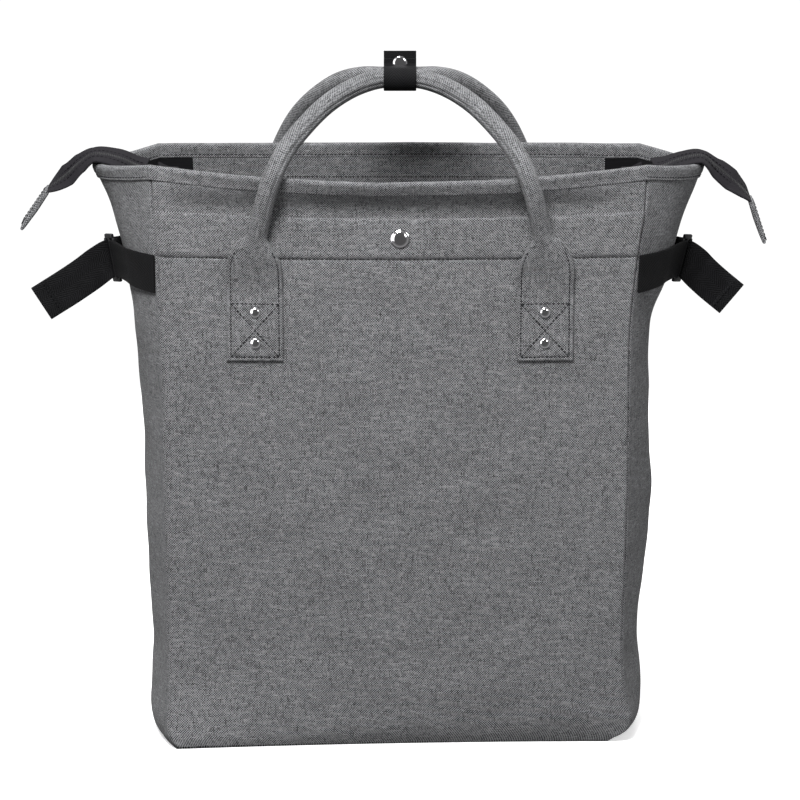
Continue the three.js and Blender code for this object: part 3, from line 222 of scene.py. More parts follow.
def loft(
    name: str,
    sections: Array,
    material: bpy.types.Material,
    ring: bool = False,
    turned: bool = False,
    sharp: float = 38.0,
) -> bpy.types.Object:
    """A closed solid through closed sections with the same number of points.

    Args:
        name: the piece's name.
        sections: the sections' points, (sections, points, 3). The second half of each goes back
            along the first, so that a ladder of faces closes the ends.
        material: its finish.
        ring: the last section joins the first.
        turned: the cloth's warp runs round the sections instead of along them.
        sharp: the angle in degrees from which an edge is sharp.

    Returns:
        The object.
    """
    sections = np.asarray(sections, float)
    count, around = sections.shape[:2]
    gaps = np.linalg.norm(np.roll(sections, -1, axis=1) - sections, axis=2)
    across = np.concatenate([np.zeros((count, 1)), np.cumsum(gaps, axis=1)], axis=1)
    across -= across[:, around // 4][:, None]
    spine = sections[:, : around // 2].mean(axis=1)
    along = lengths(np.vstack([spine, spine[:1]]) if ring else spine)
    vertices = sections.reshape(-1, 3)
    rows = count if ring else count - 1
    i, j = np.meshgrid(np.arange(rows), np.arange(around), indexing="ij")
    i, j = i.ravel(), j.ravel()
    i2, j2 = (i + 1) % count, (j + 1) % around
    faces = np.stack([i * around + j, i * around + j2, i2 * around + j2, i2 * around + j], axis=1)
    uv = np.stack(
        [
            np.stack([along[i], across[i, j]], axis=1),
            np.stack([along[i], across[i, j + 1]], axis=1),
            np.stack([along[i + 1], across[i2, j + 1]], axis=1),
            np.stack([along[i + 1], across[i2, j]], axis=1),
        ],
        axis=1,
    )
    faces, uv = faces.tolist(), uv.reshape(-1, 2).tolist()
    if not ring:
        for start, flip in ((0, True), ((count - 1) * around, False)):
            for k in range(around // 2 - 1):
                quad = [start + k, start + k + 1, start + around - 2 - k, start + around - 1 - k]
                near, far = across[0, k], across[0, k + 1]
                place = [[near, 0], [far, 0], [far, 0.002], [near, 0.002]]
                if not flip:
                    quad, place = quad[::-1], place[::-1]
                faces.append(quad)
                uv.extend(place)
    if signed_volume(vertices, faces) < 0:
        faces = [face[::-1] for face in faces]
        corners = np.array(uv).reshape(-1, 4, 2)
        uv = corners[:, ::-1].reshape(-1, 2)
    uv = np.asarray(uv)
    return make_mesh(name, vertices, faces, uv[:, ::-1] if turned else uv, material, sharp)


def turned_faces(rows: int, count: int) -> list[list[int]]:
    """The faces between rings of points, and the fans that close the first and the last.

    Args:
        rows: how many rings there are.
        count: how many points each has. Two middle points come after all of them.

    Returns:
        The point numbers of each face.
    """
    turns = [(k, (k + 1) % count) for k in range(count)]
    faces = []
    for row in range(rows - 1):
        low, high = row * count, (row + 1) * count
        faces += [[low + k, low + l, high + l, high + k] for k, l in turns]
    last, middle = (rows - 1) * count, rows * count
    for k, l in turns:
        faces += [[l, k, middle], [last + k, last + l, middle + 1]]
    return faces


def disc(
    name: str, loop: Array, thickness: float, material: bpy.types.Material, rings: int = 12
) -> bpy.types.Object:
    """A flat sheet inside a closed loop, with a rounded edge.

    Args:
        name: the piece's name.
        loop: the upper edge's points.
        thickness: how thick it is, downward.
        material: its finish.
        rings: how many rings of faces it has from its edge to its middle.

    Returns:
        The object.
    """
    centre = loop.mean(axis=0)
    shares = np.linspace(1, 0, rings, endpoint=False)
    round_in = thickness / 3 / np.linalg.norm(loop - centre, axis=1).mean()
    layers = [(share * (1 - round_in), 0.0) for share in shares[::-1]]
    layers += [(1.0, -thickness * 0.3), (1.0, -thickness * 0.7)]
    layers += [(share * (1 - round_in), -thickness) for share in shares]
    points = [centre + (loop - centre) * share + np.array([0, 0, drop]) for share, drop in layers]
    vertices = np.vstack([*points, centre[None], (centre - [0, 0, thickness])[None]])
    faces = turned_faces(len(layers), len(loop))
    if signed_volume(vertices, faces) < 0:
        faces = [face[::-1] for face in faces]
    uv = np.array([vertices[v][:2] for face in faces for v in face])
    return make_mesh(name, vertices, faces, uv, material)


def lathe(
    name: str,
    profile: Sequence[tuple[float, float]],
    seat: Array,
    outward: Array,
    material: bpy.types.Material,
    sides: int = 40,
) -> bpy.types.Object:
    """A turned solid.

    Args:
        name: the piece's name.
        profile: (radius, height) from its lowest middle point to its highest.
        seat: where its axis meets the surface that it sits on.
        outward: the direction of its axis.
        material: its finish.
        sides: how many faces it has round its axis.

    Returns:
        The object.
    """
    turn = Vector((0, 0, 1)).rotation_difference(Vector(outward)).to_matrix()
    angles = np.arange(sides) * 2 * math.pi / sides
    rows = [
        np.stack([r * np.cos(angles), r * np.sin(angles), np.full(sides, z)], 1) for r, z in profile[1:-1]
    ]
    vertices = np.vstack([*rows, [[0, 0, profile[0][1]]], [[0, 0, profile[-1][1]]]])
    faces = turned_faces(len(rows), sides)
    uv = np.array([vertices[v][:2] for face in faces for v in face])
    vertices = vertices @ np.array(turn).T + np.asarray(seat)
    return make_mesh(name, vertices, faces, uv, material)


def joined(name: str, pieces: Sequence[bpy.types.Object]) -> bpy.types.Object:
    """One object made of several, under a new name.

    Args:
        name: the new name.
        pieces: the objects, which end as one.

    Returns:
        The object.
    """
    first = pieces[0]
    if len(pieces) > 1:
        with bpy.context.temp_override(
            active_object=first, object=first, selected_editable_objects=list(pieces)
        ):
            bpy.ops.object.join()
    first.name = first.data.name = name
    return first


class NodeKit:
    """A short way to add and join the nodes of one material."""

    def __init__(self, name: str) -> None:
        """Starts an empty material with its shader."""
        self.material = bpy.data.materials.new(name)
        self.material.use_nodes = True
        self.tree = self.material.node_tree
        self.tree.nodes.clear()
        self.output = self.tree.nodes.new("ShaderNodeOutputMaterial")
        self.shader = self.tree.nodes.new("ShaderNodeBsdfPrincipled")
        self.link(self.shader.outputs["BSDF"], self.output.inputs["Surface"])

    def link(self, source: bpy.types.NodeSocket, target: bpy.types.NodeSocket) -> None:
        """Joins two sockets."""
        self.tree.links.new(source, target)

    def put(self, socket: bpy.types.NodeSocket, value: object) -> None:
        """Joins a socket to another or gives it a plain value.

        Args:
            socket: the socket.
            value: a socket or a value.
        """
        if isinstance(value, bpy.types.NodeSocket):
            self.link(value, socket)
        else:
            socket.default_value = value

    def uv(self) -> tuple[bpy.types.NodeSocket, bpy.types.NodeSocket]:
        """The surface's own coordinates in metres.

        Returns:
            The two sockets, along and across the cloth.
        """
        source = self.tree.nodes.new("ShaderNodeUVMap")
        source.uv_map = "UVMap"
        split = self.tree.nodes.new("ShaderNodeSeparateXYZ")
        self.link(source.outputs["UV"], split.inputs[0])
        return split.outputs["X"], split.outputs["Y"]

    def math(self, operation: str, a: object, b: object = 0.0) -> bpy.types.NodeSocket:
        """The result of one Math node.

        Args:
            operation: what it does.
            a: its first value.
            b: its second value.

        Returns:
            The result's socket.
        """
        node = self.tree.nodes.new("ShaderNodeMath")
        node.operation = operation
        self.put(node.inputs[0], a)
        self.put(node.inputs[1], b)
        return node.outputs[0]

    def vector(self, x: object, y: object, z: object = 0.0) -> bpy.types.NodeSocket:
        """A vector from three values.

        Args:
            x: its first value.
            y: its second value.
            z: its third value.

        Returns:
            The vector's socket.
        """
        node = self.tree.nodes.new("ShaderNodeCombineXYZ")
        for socket, value in zip(node.inputs, (x, y, z), strict=True):
            self.put(socket, value)
        return node.outputs[0]

    def noise(
        self, at: bpy.types.NodeSocket, scale: float = 1.0, detail: float = 2.0
    ) -> bpy.types.NodeSocket:
        """Noise from 0 to 1 at a place.

        Args:
            at: the place.
            scale: how fine it is.
            detail: how rough it is.

        Returns:
            The value's socket.
        """
        node = self.tree.nodes.new("ShaderNodeTexNoise")
        self.link(at, node.inputs["Vector"])
        node.inputs["Scale"].default_value = scale
        node.inputs["Detail"].default_value = detail
        return node.outputs["Fac"]

    def chance(self, at: bpy.types.NodeSocket) -> bpy.types.NodeSocket:
        """A value from 0 to 1 that is unlike its neighbours.

        Args:
            at: the place.

        Returns:
            The value's socket.
        """
        node = self.tree.nodes.new("ShaderNodeTexWhiteNoise")
        node.noise_dimensions = "2D"
        self.link(at, node.inputs["Vector"])
        return node.outputs["Value"]

    def ramp(self, value: object, stops: Sequence[tuple[float, Sequence[float]]]) -> bpy.types.NodeSocket:
        """A colour that depends on a value.

        Args:
            value: the value.
            stops: places on the ramp with their colours.

        Returns:
            The colour's socket.
        """
        node = self.tree.nodes.new("ShaderNodeValToRGB")
        self.put(node.inputs[0], value)
        elements = node.color_ramp.elements
        while len(elements) < len(stops):
            elements.new(0.5)
        for element, (place, colour) in zip(elements, stops, strict=True):
            element.position = place
            element.color = (*colour, 1)
        return node.outputs["Color"]

    def span(
        self, value: object, low: float, high: float, to_low: float, to_high: float
    ) -> bpy.types.NodeSocket:
        """A value carried from one span to another, held at its ends.

        Args:
            value: the value.
            low: the first span's start.
            high: the first span's end.
            to_low: the second span's start.
            to_high: the second span's end.

        Returns:
            The value's socket.
        """
        node = self.tree.nodes.new("ShaderNodeMapRange")
        for socket, item in zip(node.inputs[:5], (value, low, high, to_low, to_high), strict=True):
            self.put(socket, item)
        return node.outputs[0]

    def mix(self, share: object, a: object, b: object) -> bpy.types.NodeSocket:
        """A mix of two values."""
        return self.math("ADD", a, self.math("MULTIPLY", share, self.math("SUBTRACT", b, a)))

    def shade(self, colour: object, by: object) -> bpy.types.NodeSocket:
        """A colour times a value.

        Args:
            colour: the colour.
            by: the value.

        Returns:
            The colour's socket.
        """
        node = self.tree.nodes.new("ShaderNodeVectorMath")
        node.operation = "SCALE"
        self.put(node.inputs[0], colour)
        self.put(node.inputs["Scale"], by)
        return node.outputs[0]

    def bump(self, height: bpy.types.NodeSocket, distance: float, strength: float) -> None:
        """Fine relief on the shader's normal.

        Args:
            height: the relief, from 0 to 1.
            distance: its depth in metres.
            strength: how strongly it shows.
        """
        node = self.tree.nodes.new("ShaderNodeBump")
        node.inputs["Strength"].default_value = strength
        node.inputs["Distance"].default_value = distance
        self.link(height, node.inputs["Height"])
        self.link(node.outputs["Normal"], self.shader.inputs["Normal"])

    def surface(self, **values: object) -> None:
        """Sets the shader's sockets by name, with underscores for spaces."""
        for name, value in values.items():
            self.put(self.shader.inputs[name.replace("_", " ")], value)


@dataclass(frozen=True)
class Melange:
    """Plain weave of two yarns whose tone changes along their length, with painted shade between the
    crossings.

    Args:
        name: the material's name.
        dark: the darkest yarn's colour.
        light: the lightest yarn's colour.
        pitch: from one thread to the next, in metres.
        streak: how many threads long a tone lasts, as a frequency per thread.
        contrast: how far apart the tones of the crossing yarns stand.
        slub: how strongly the tones change along the yarns.
        fleck: how strongly they change from one crossing to the next.
    """

    name: str
    dark: tuple[float, float, float] = (0.004, 0.0041, 0.0047)
    light: tuple[float, float, float] = (0.3, 0.303, 0.314)
    pitch: float = 0.00097
    streak: float = 0.16
    contrast: float = 0.42
    slub: float = 1.15
    fleck: float = 0.18

    def build(self) -> bpy.types.Material:
        """Makes the material."""
        kit = NodeKit(self.name)
        u, v = kit.uv()
        x, y = kit.math("DIVIDE", u, self.pitch), kit.math("DIVIDE", v, self.pitch)
        column, row = kit.math("FLOOR", x), kit.math("FLOOR", y)
        along, over = kit.math("MULTIPLY", y, self.streak), kit.math("MULTIPLY", x, self.streak)
        warp = kit.noise(kit.vector(kit.math("MULTIPLY", column, 7.31), along, 3.1))
        weft = kit.noise(kit.vector(over, kit.math("MULTIPLY", row, 5.17), 8.4))
        crossing = kit.math(
            "MULTIPLY",
            kit.math("SINE", kit.math("MULTIPLY", x, math.pi)),
            kit.math("SINE", kit.math("MULTIPLY", y, math.pi)),
        )
        apart = self.contrast / 2
        above = kit.span(crossing, -0.2, 0.2, 0, 1)
        tone = kit.mix(above, kit.math("SUBTRACT", weft, apart), kit.math("ADD", warp, apart))
        patches = kit.noise(kit.vector(u, v), 30.0, 3.0)
        tone = kit.math("ADD", tone, kit.math("MULTIPLY", kit.math("SUBTRACT", patches, 0.5), 0.06))
        tone = kit.math("ADD", kit.math("MULTIPLY", kit.math("SUBTRACT", tone, 0.5), self.slub), 0.5)
        flecks = kit.math("SUBTRACT", kit.chance(kit.vector(column, row)), 0.5)
        tone = kit.math("ADD", tone, kit.math("MULTIPLY", flecks, self.fleck))
        relief = kit.math("POWER", kit.math("ABSOLUTE", crossing), 0.5)
        colour = kit.ramp(tone, ((0.26, self.dark), (0.74, self.light)))
        # The base colour is scaled by the crossings' relief from 0.72 to 1.06. This is painted shade where
        # the threads dip between crossings and a slight painted highlight on their crowns.
        kit.surface(
            Base_Color=kit.shade(colour, kit.span(relief, 0, 1, 0.72, 1.06)),
            Roughness=0.88,
            Sheen_Weight=0.08,
            Sheen_Roughness=0.6,
            Specular_IOR_Level=0.2,
        )
        kit.bump(relief, 0.0003, 0.6)
        return kit.material


@dataclass(frozen=True)
class RibbedWebbing:
    """Black woven webbing with slanting ribs that meet along its middle."""

    name: str
    colour: tuple[float, float, float] = (0.0046, 0.0046, 0.0052)
    pitch: float = 0.0021
    middle: float = 0.015
    yarns: float = 4200.0

    def build(self) -> bpy.types.Material:
        """Makes the material."""
        kit = NodeKit(self.name)
        u, v = kit.uv()
        slant = kit.math("PINGPONG", v, self.middle / 2)
        phase = kit.math("MULTIPLY", kit.math("ADD", u, slant), 2 * math.pi / self.pitch)
        rib = kit.span(kit.math("SINE", phase), -1, 1, 0, 1)
        yarns = kit.math("ABSOLUTE", kit.math("SINE", kit.math("MULTIPLY", v, self.yarns)))
        ends = kit.math("MULTIPLY", yarns, rib)
        wear = kit.noise(kit.vector(u, v), 60.0, 3.0)
        shade = kit.math("ADD", kit.span(ends, 0, 1, 0.3, 3.2), kit.span(wear, 0.3, 0.7, -0.2, 0.35))
        kit.surface(
            Base_Color=kit.shade((*self.colour,), shade),
            Roughness=0.62,
            Sheen_Weight=0.02,
            Sheen_Roughness=0.5,
            Specular_IOR_Level=0.09,
        )
        kit.bump(ends, 0.0003, 0.8)
        return kit.material


@dataclass(frozen=True)
class SatinCloth:
    """Fine smooth cloth in one dark colour."""

    name: str
    colour: tuple[float, float, float]
    roughness: float = 0.5
    rib: float = 0.0007

    def build(self) -> bpy.types.Material:
        """Makes the material."""
        kit = NodeKit(self.name)
        u, v = kit.uv()
        slant = kit.math("ADD", u, kit.math("MULTIPLY", v, 0.5))
        line = kit.math("SINE", kit.math("MULTIPLY", slant, 2 * math.pi / self.rib))
        slub = kit.noise(kit.vector(kit.math("MULTIPLY", u, 90.0), kit.math("MULTIPLY", v, 900.0)), 1.0, 2.0)
        shade = kit.math("ADD", kit.span(line, -1, 1, 0.85, 1.15), kit.span(slub, 0.3, 0.7, -0.2, 0.25))
        kit.surface(
            Base_Color=kit.shade((*self.colour,), shade),
            Roughness=self.roughness,
            Sheen_Weight=0.02,
            Specular_IOR_Level=0.12,
        )
        kit.bump(line, 0.0001, 0.5)
        return kit.material


@dataclass(frozen=True)
class MouldedPlastic:
    """Black moulded plastic with a fine spark-eroded grain."""

    name: str
    colour: tuple[float, float, float] = (0.013, 0.013, 0.014)

    def build(self) -> bpy.types.Material:
        """Makes the material."""
        kit = NodeKit(self.name)
        u, v = kit.uv()
        grain = kit.noise(kit.vector(u, v), 1800.0, 2.0)
        kit.surface(
            Base_Color=kit.shade((*self.colour,), kit.span(grain, 0.3, 0.7, 0.85, 1.2)),
            Roughness=kit.span(grain, 0.3, 0.7, 0.36, 0.46),
            Specular_IOR_Level=0.5,
        )
        kit.bump(grain, 0.00005, 0.4)
        return kit.material


@dataclass(frozen=True)
class PolishedMetal:
    """Bright nickel plate with faint wiping marks."""

    name: str
    colour: tuple[float, float, float] = (0.7, 0.69, 0.71)

    def build(self) -> bpy.types.Material:
        """Makes the material."""
        kit = NodeKit(self.name)
        u, v = kit.uv()
        marks = kit.noise(kit.vector(u, kit.math("MULTIPLY", v, 6.0)), 400.0, 3.0)
        kit.surface(
            Base_Color=kit.shade((*self.colour,), kit.span(marks, 0.3, 0.7, 0.95, 1.03)),
            Metallic=1.0,
            Roughness=kit.span(marks, 0.35, 0.75, 0.07, 0.16),
        )
        return kit.material


@dataclass(frozen=True)
class SewingThread:
    """Twisted polyester thread."""

    name: str
    colour: tuple[float, float, float]

    def build(self) -> bpy.types.Material:
        """Makes the material."""
        kit = NodeKit(self.name)
        u, v = kit.uv()
        twist = kit.math("SINE", kit.math("MULTIPLY", kit.math("ADD", u, v), 9000.0))
        kit.surface(
            Base_Color=kit.shade((*self.colour,), kit.span(twist, -1, 1, 0.75, 1.2)),
            Roughness=0.7,
            Specular_IOR_Level=0.1,
        )
        return kit.material


@dataclass(frozen=True)
class PaleFloor:
    """The plain pale floor."""

    name: str
    colour: tuple[float, float, float] = (0.95, 0.95, 0.95)
    glow: float = 0.5

    def build(self) -> bpy.types.Material:
        """Makes the material."""
        kit = NodeKit(self.name)
        kit.surface(
            Base_Color=(*self.colour, 1),
            Roughness=0.9,
            Specular_IOR_Level=0.1,
            Emission_Color=(1, 1, 1, 1),
            Emission_Strength=self.glow,
        )
        return kit.material


class Finishes:
    """Every finish of the backpack, each made once."""

    def __init__(self) -> None:
        """Builds the materials."""
        self.heather = Melange("heather_weave").build()
        self.lining = SatinCloth("black_lining", (0.0075, 0.0075, 0.0085), 0.45).build()
        self.webbing = RibbedWebbing("black_webbing").build()
        self.zip = SatinCloth("zip_tape", (0.0105, 0.0095, 0.012), 0.65, 0.001).build()
        self.plastic = MouldedPlastic("black_plastic").build()
        self.steel = PolishedMetal("nickel").build()
        self.slider = PolishedMetal("black_nickel", (0.035, 0.034, 0.037)).build()
        # The stitches are real, but their grey thread is coloured near-black so that the rows read as dark
        # lines. This is painted shade of the grooves that the stitches sink into.
        self.thread = SewingThread("grey_thread", (0.012, 0.012, 0.014)).build()
        self.black_thread = SewingThread("black_thread", (0.005, 0.005, 0.006)).build()


class Panel(Enum):
    """The four walls, in the order in which they follow each other round the body."""

    FRONT = "front"
    RIGHT = "right"
    BACK = "back"
    LEFT = "left"


@dataclass(frozen=True)
class Level:
    """One level of the body, as shares of its named sizes. Pairs are for its left and right."""

    height: float
    seam: tuple[float, float]
    bulge: tuple[float, float]
    front: tuple[float, float]
    depth: float
    belly: float


LEVELS = (
    Level(0.0, (0.905, 0.83), (0.36, 0.5), (1.22, 0.92), 0.94, -0.35),
    Level(0.01, (0.93, 0.895), (0.36, 0.36), (1.23, 0.94), 0.98, -0.3),
    Level(0.02, (0.943, 0.93), (0.365, 0.27), (1.22, 0.96), 1.0, -0.2),
    Level(0.04, (0.95, 0.952), (0.38, 0.21), (1.17, 0.98), 1.0, 0.0),
    Level(0.07, (0.948, 0.935), (0.385, 0.28), (1.11, 0.99), 1.0, 0.15),
    Level(0.11, (0.948, 0.92), (0.37, 0.33), (1.05, 1.0), 1.0, 0.3),
    Level(0.17, (0.948, 0.909), (0.33, 0.34), (1.01, 1.0), 1.0, 0.45),
    Level(0.3, (0.949, 0.917), (0.38, 0.4), (1.0, 1.0), 1.0, 0.55),
    Level(0.45, (0.953, 0.925), (0.38, 0.42), (1.0, 1.0), 1.0, 0.65),
    Level(0.6, (0.957, 0.925), (0.44, 0.41), (0.99, 0.99), 0.99, 0.7),
    Level(0.72, (0.963, 0.927), (0.55, 0.46), (0.97, 0.97), 0.97, 0.75),
    Level(0.8, (0.97, 0.943), (0.61, 0.63), (0.94, 0.94), 0.94, 0.8),
    Level(0.87, (0.983, 0.964), (0.69, 0.7), (0.9, 0.9), 0.9, 0.9),
    Level(0.93, (0.996, 0.987), (0.77, 0.78), (0.85, 0.85), 0.85, 1.0),
    Level(1.0, (1.005, 0.995), (0.99, 0.99), (0.79, 0.79), 0.79, 1.0),
)


@dataclass(frozen=True)
class Fold:
    """A soft crease or swell of the cloth.

    Args:
        panel: the wall that it is in.
        start: its first end: along the wall (x, or y on a gusset) and height, in metres.
        end: its second end.
        width: how far it reaches to each side.
        depth: how far it stands out, or in if negative.
    """

    panel: Panel
    start: tuple[float, float]
    end: tuple[float, float]
    width: float
    depth: float

    def reach(self, along: Array, height: Array) -> Array:
        """How far the cloth stands out at places on the wall.

        Args:
            along: places along the wall.
            height: their heights.

        Returns:
            The distances, inward ones negative.
        """
        a, b = np.array(self.start), np.array(self.end)
        way = b - a
        t = ((along - a[0]) * way[0] + (height - a[1]) * way[1]) / (way @ way)
        t = np.clip(t, 0, 1)
        off = np.hypot(along - a[0] - t * way[0], height - a[1] - t * way[1])
        ends = 1 - 0.7 * np.abs(2 * t - 1) ** 3
        return self.depth * ends * np.exp(-((off / self.width) ** 2))


FOLDS = (
    Fold(Panel.FRONT, (-0.172, 0.431), (-0.15, 0.428), 0.004, -0.0012),
    Fold(Panel.FRONT, (-0.15, 0.428), (-0.128, 0.4265), 0.004, -0.0008),
    Fold(Panel.FRONT, (0.14, 0.43), (0.165, 0.432), 0.005, -0.0012),
    Fold(Panel.FRONT, (-0.135, 0.30), (-0.165, 0.20), 0.014, -0.0012),
    Fold(Panel.FRONT, (-0.08, 0.31), (-0.02, 0.16), 0.02, -0.0010),
    Fold(Panel.FRONT, (0.09, 0.31), (0.03, 0.15), 0.02, -0.0010),
    Fold(Panel.FRONT, (0.145, 0.30), (0.165, 0.18), 0.014, -0.0012),
    Fold(Panel.FRONT, (-0.168, 0.13), (-0.12, 0.03), 0.012, -0.0010),
    Fold(Panel.FRONT, (0.166, 0.12), (0.12, 0.03), 0.012, 0.0012),
    Fold(Panel.FRONT, (-0.13, 0.05), (0.12, 0.045), 0.02, 0.0010),
    Fold(Panel.FRONT, (-0.06, 0.38), (0.06, 0.375), 0.02, 0.0010),
    Fold(Panel.LEFT, (-0.02, 0.35), (0.02, 0.30), 0.016, -0.0025),
    Fold(Panel.LEFT, (0.01, 0.24), (-0.03, 0.14), 0.014, 0.002),
    Fold(Panel.LEFT, (0.03, 0.10), (-0.02, 0.03), 0.012, -0.002),
    Fold(Panel.RIGHT, (-0.02, 0.345), (0.025, 0.30), 0.016, -0.0025),
    Fold(Panel.RIGHT, (-0.02, 0.22), (0.02, 0.12), 0.014, 0.002),
    Fold(Panel.RIGHT, (0.0, 0.09), (0.03, 0.03), 0.012, -0.002),
    Fold(Panel.BACK, (-0.12, 0.32), (-0.02, 0.20), 0.02, -0.0015),
    Fold(Panel.BACK, (0.12, 0.30), (0.03, 0.14), 0.02, -0.0015),
    Fold(Panel.BACK, (-0.1, 0.08), (0.1, 0.07), 0.018, 0.0015),
)


@dataclass
class Body:
    """The outer surface of the bag's walls, with its sizes in metres."""

    height: float = 0.461
    seam_half_width: float = 0.193
    side_bulge: float = 0.048
    half_depth: float = 0.073
    front_belly: float = 0.015
    back_belly: float = 0.005
    rim_lean: float = 0.012
    front_sag: float = 0.008
    side_sag: float = 0.007
    pocket_top: float = 0.426
    folds: tuple[Fold, ...] = FOLDS
    ripple: float = 0.0005
    rim_turn: float = 0.0052
    rim_hollow: float = 0.0016

    def column(self, name: str, share: Array, side: int | None = None) -> Array:
        """One column of the table of levels, at shares of the height.

        Args:
            name: the column.
            share: the shares.
            side: 0 for left or 1 for right, where it has both.

        Returns:
            Its values.
        """
        values = [getattr(level, name) for level in LEVELS]
        values = [value[side] if side is not None else value for value in values]
        heights = np.array([level.height for level in LEVELS])
        return table_curve(heights, np.array(values, float), share)

    def bare(self, panel: Panel, across: Array, share: Array) -> Array:
        """The surface without its folds.

        Args:
            panel: the wall.
            across: the place across it, from -1 to 1 in the order round the body.
            share: the share of the height.

        Returns:
            Points in metres.
        """
        across, share = np.broadcast_arrays(np.asarray(across, float), np.asarray(share, float))
        left = -self.seam_half_width * self.column("seam", share, 0)
        right = self.seam_half_width * self.column("seam", share, 1)
        left_front = -self.half_depth * self.column("front", share, 0)
        right_front = -self.half_depth * self.column("front", share, 1)
        back = self.half_depth * self.column("depth", share)
        belly = self.column("belly", share)
        bow, along = 1 - across**2, (across + 1) / 2
        near_rim = smooth(share, 0.86, 1)
        rise = share * self.height
        if panel is Panel.FRONT:
            top = self.pocket_top / self.height
            lean = self.rim_lean * np.maximum(0, (share - top) / (1 - top))
            y = lerp(left_front, right_front, along) - (self.front_belly * belly + lean) * bow
            return np.stack([lerp(left, right, along), y, rise - self.front_sag * bow * near_rim], -1)
        if panel is Panel.BACK:
            return np.stack([lerp(right, left, along), back + self.back_belly * belly * bow, rise], -1)
        point = 1 - np.abs(across) ** lerp(2, 1.5, near_rim)
        z = rise - self.side_sag * bow * near_rim
        if panel is Panel.RIGHT:
            bulge = self.side_bulge * self.column("bulge", share, 1)
            return np.stack([right + bulge * point, lerp(right_front, back, along), z], -1)
        bulge = self.side_bulge * self.column("bulge", share, 0)
        return np.stack([left - bulge * point, lerp(back, left_front, along), z], -1)

    def normal(self, panel: Panel, across: Array, share: Array) -> Array:
        """The outward direction of the bare surface.

        Args:
            panel: the wall.
            across: the place across it.
            share: the share of the height.

        Returns:
            The directions.
        """
        d = 0.004
        sideways = self.bare(panel, across + d, share) - self.bare(panel, across - d, share)
        low, high = np.maximum(share - d, 0), np.minimum(share + d, 1)
        upward = self.bare(panel, across, high) - self.bare(panel, across, low)
        return unit(np.cross(sideways, upward))

    def unrest(self, panel: Panel, points: Array, across: Array) -> Array:
        """How far folds and ripples stand out from the bare surface.

        Args:
            panel: the wall.
            points: points of the bare surface.
            across: their places across the wall.

        Returns:
            The distances, inward ones negative.
        """
        along = points[..., 0] if panel in (Panel.FRONT, Panel.BACK) else points[..., 1]
        z = points[..., 2]
        total = np.zeros(along.shape)
        for fold in self.folds:
            if fold.panel is panel:
                total += fold.reach(along, z)
        phase = list(Panel).index(panel) * 1.7
        total += self.ripple * (
            np.sin(61 * along + 34 * z + phase)
            + 0.7 * np.sin(-47 * along + 83 * z + 2 * phase)
            + 0.5 * np.sin(139 * along + 21 * z + 3 * phase)
            + 0.4 * np.sin(23 * along + 157 * z + 5 * phase)
        )
        total = total * (1 - np.abs(across) ** 10) * smooth(z, 0.0, 0.03)
        if panel is Panel.FRONT:
            hollow = self.rim_hollow * np.exp(-(((z - 0.43) / 0.009) ** 2))
            total = total + (self.rim_turn * smooth(z, 0.43, 0.447) - hollow) * (1 - across**4)
        return total

    def at(self, panel: Panel, across: Array, share: Array, outset: Array | float = 0.0) -> Array:
        """The surface with its folds, moved outward by outset.

        Args:
            panel: the wall.
            across: the place across it.
            share: the share of the height.
            outset: how far outward.

        Returns:
            Points in metres.
        """
        across, share = np.broadcast_arrays(np.asarray(across, float), np.asarray(share, float))
        points = self.bare(panel, across, share)
        away = self.unrest(panel, points, across) + outset
        return points + self.normal(panel, across, share) * np.asarray(away)[..., None]

    def across_at(self, panel: Panel, x: float, share: float) -> float:
        """The place across the front or back at which the surface has this x.

        Args:
            panel: the wall.
            x: the place along x.
            share: the share of the height.

        Returns:
            The place, from -1 to 1.
        """
        ends = self.bare(panel, np.array([-1.0, 1.0]), np.array([share, share]))[:, 0]
        return float(2 * (x - ends[0]) / (ends[1] - ends[0]) - 1)

    def seat(self, panel: Panel, x: float, z: float) -> tuple[Array, Array, Array]:
        """A point of the front or back with its outward and upward directions.

        Args:
            panel: the wall.
            x: its place along x.
            z: its height.

        Returns:
            The point and the two directions.
        """
        share = z / self.height
        across = np.array(self.across_at(panel, x, share))
        step = 0.01
        sideways = self.bare(panel, across + step, share) - self.bare(panel, across - step, share)
        upward = self.bare(panel, across, share + step) - self.bare(panel, across, share - step)
        return self.bare(panel, across, share), unit(np.cross(sideways, upward)), unit(upward)

    def half_length(self, panel: Panel) -> float:
        """About half of a wall's width."""
        return self.seam_half_width if panel in (Panel.FRONT, Panel.BACK) else self.half_depth * 1.15

    def shell(
        self,
        name: str,
        panel: Panel,
        heights: Array,
        outer: float | Callable[[Array, Array], Array],
        thickness: float,
        material: bpy.types.Material,
        step: float = 0.004,
        roll: float = 0.0021,
        fine: Sequence[float] = (),
    ) -> bpy.types.Object:
        """A layer of cloth over one wall.

        Args:
            name: the piece's name.
            panel: the wall.
            heights: its levels in metres, from its lower to its upper edge.
            outer: how far its outer face stands out, or a function of across and height.
            thickness: the cloth's thickness.
            material: its finish.
            step: the spacing of its columns.
            roll: the radius at which its side edges turn into the seams.
            fine: places across, from -1 to 1, that need closer columns.

        Returns:
            The object.
        """
        half = self.half_length(panel)
        gap = 0.0006 / half
        seams = [-1 + gap + k * roll / half for k in (0.15, 0.35, 0.6, 0.9, 1.3)]
        seams += [-s for s in seams]
        places = steps(-1 + gap, 1 - gap, step / half, fine, 0.0024 / half)
        places = np.unique(np.concatenate([places, seams]))
        across, height = np.meshgrid(places, heights, indexing="ij")
        to_seam = (1 - gap - np.abs(across)) * half
        dip = roll - np.sqrt(np.maximum(roll**2 - np.maximum(roll - to_seam, 0) ** 2, 0))
        outset = (outer(across, height) if callable(outer) else outer) - dip
        share = height / self.height
        face = self.at(panel, across, share, outset)
        inside = self.at(panel, across, share, np.minimum(outset + dip - thickness, outset - 0.0003))
        return loft(name, np.concatenate([face, inside[:, ::-1]], axis=1), material)

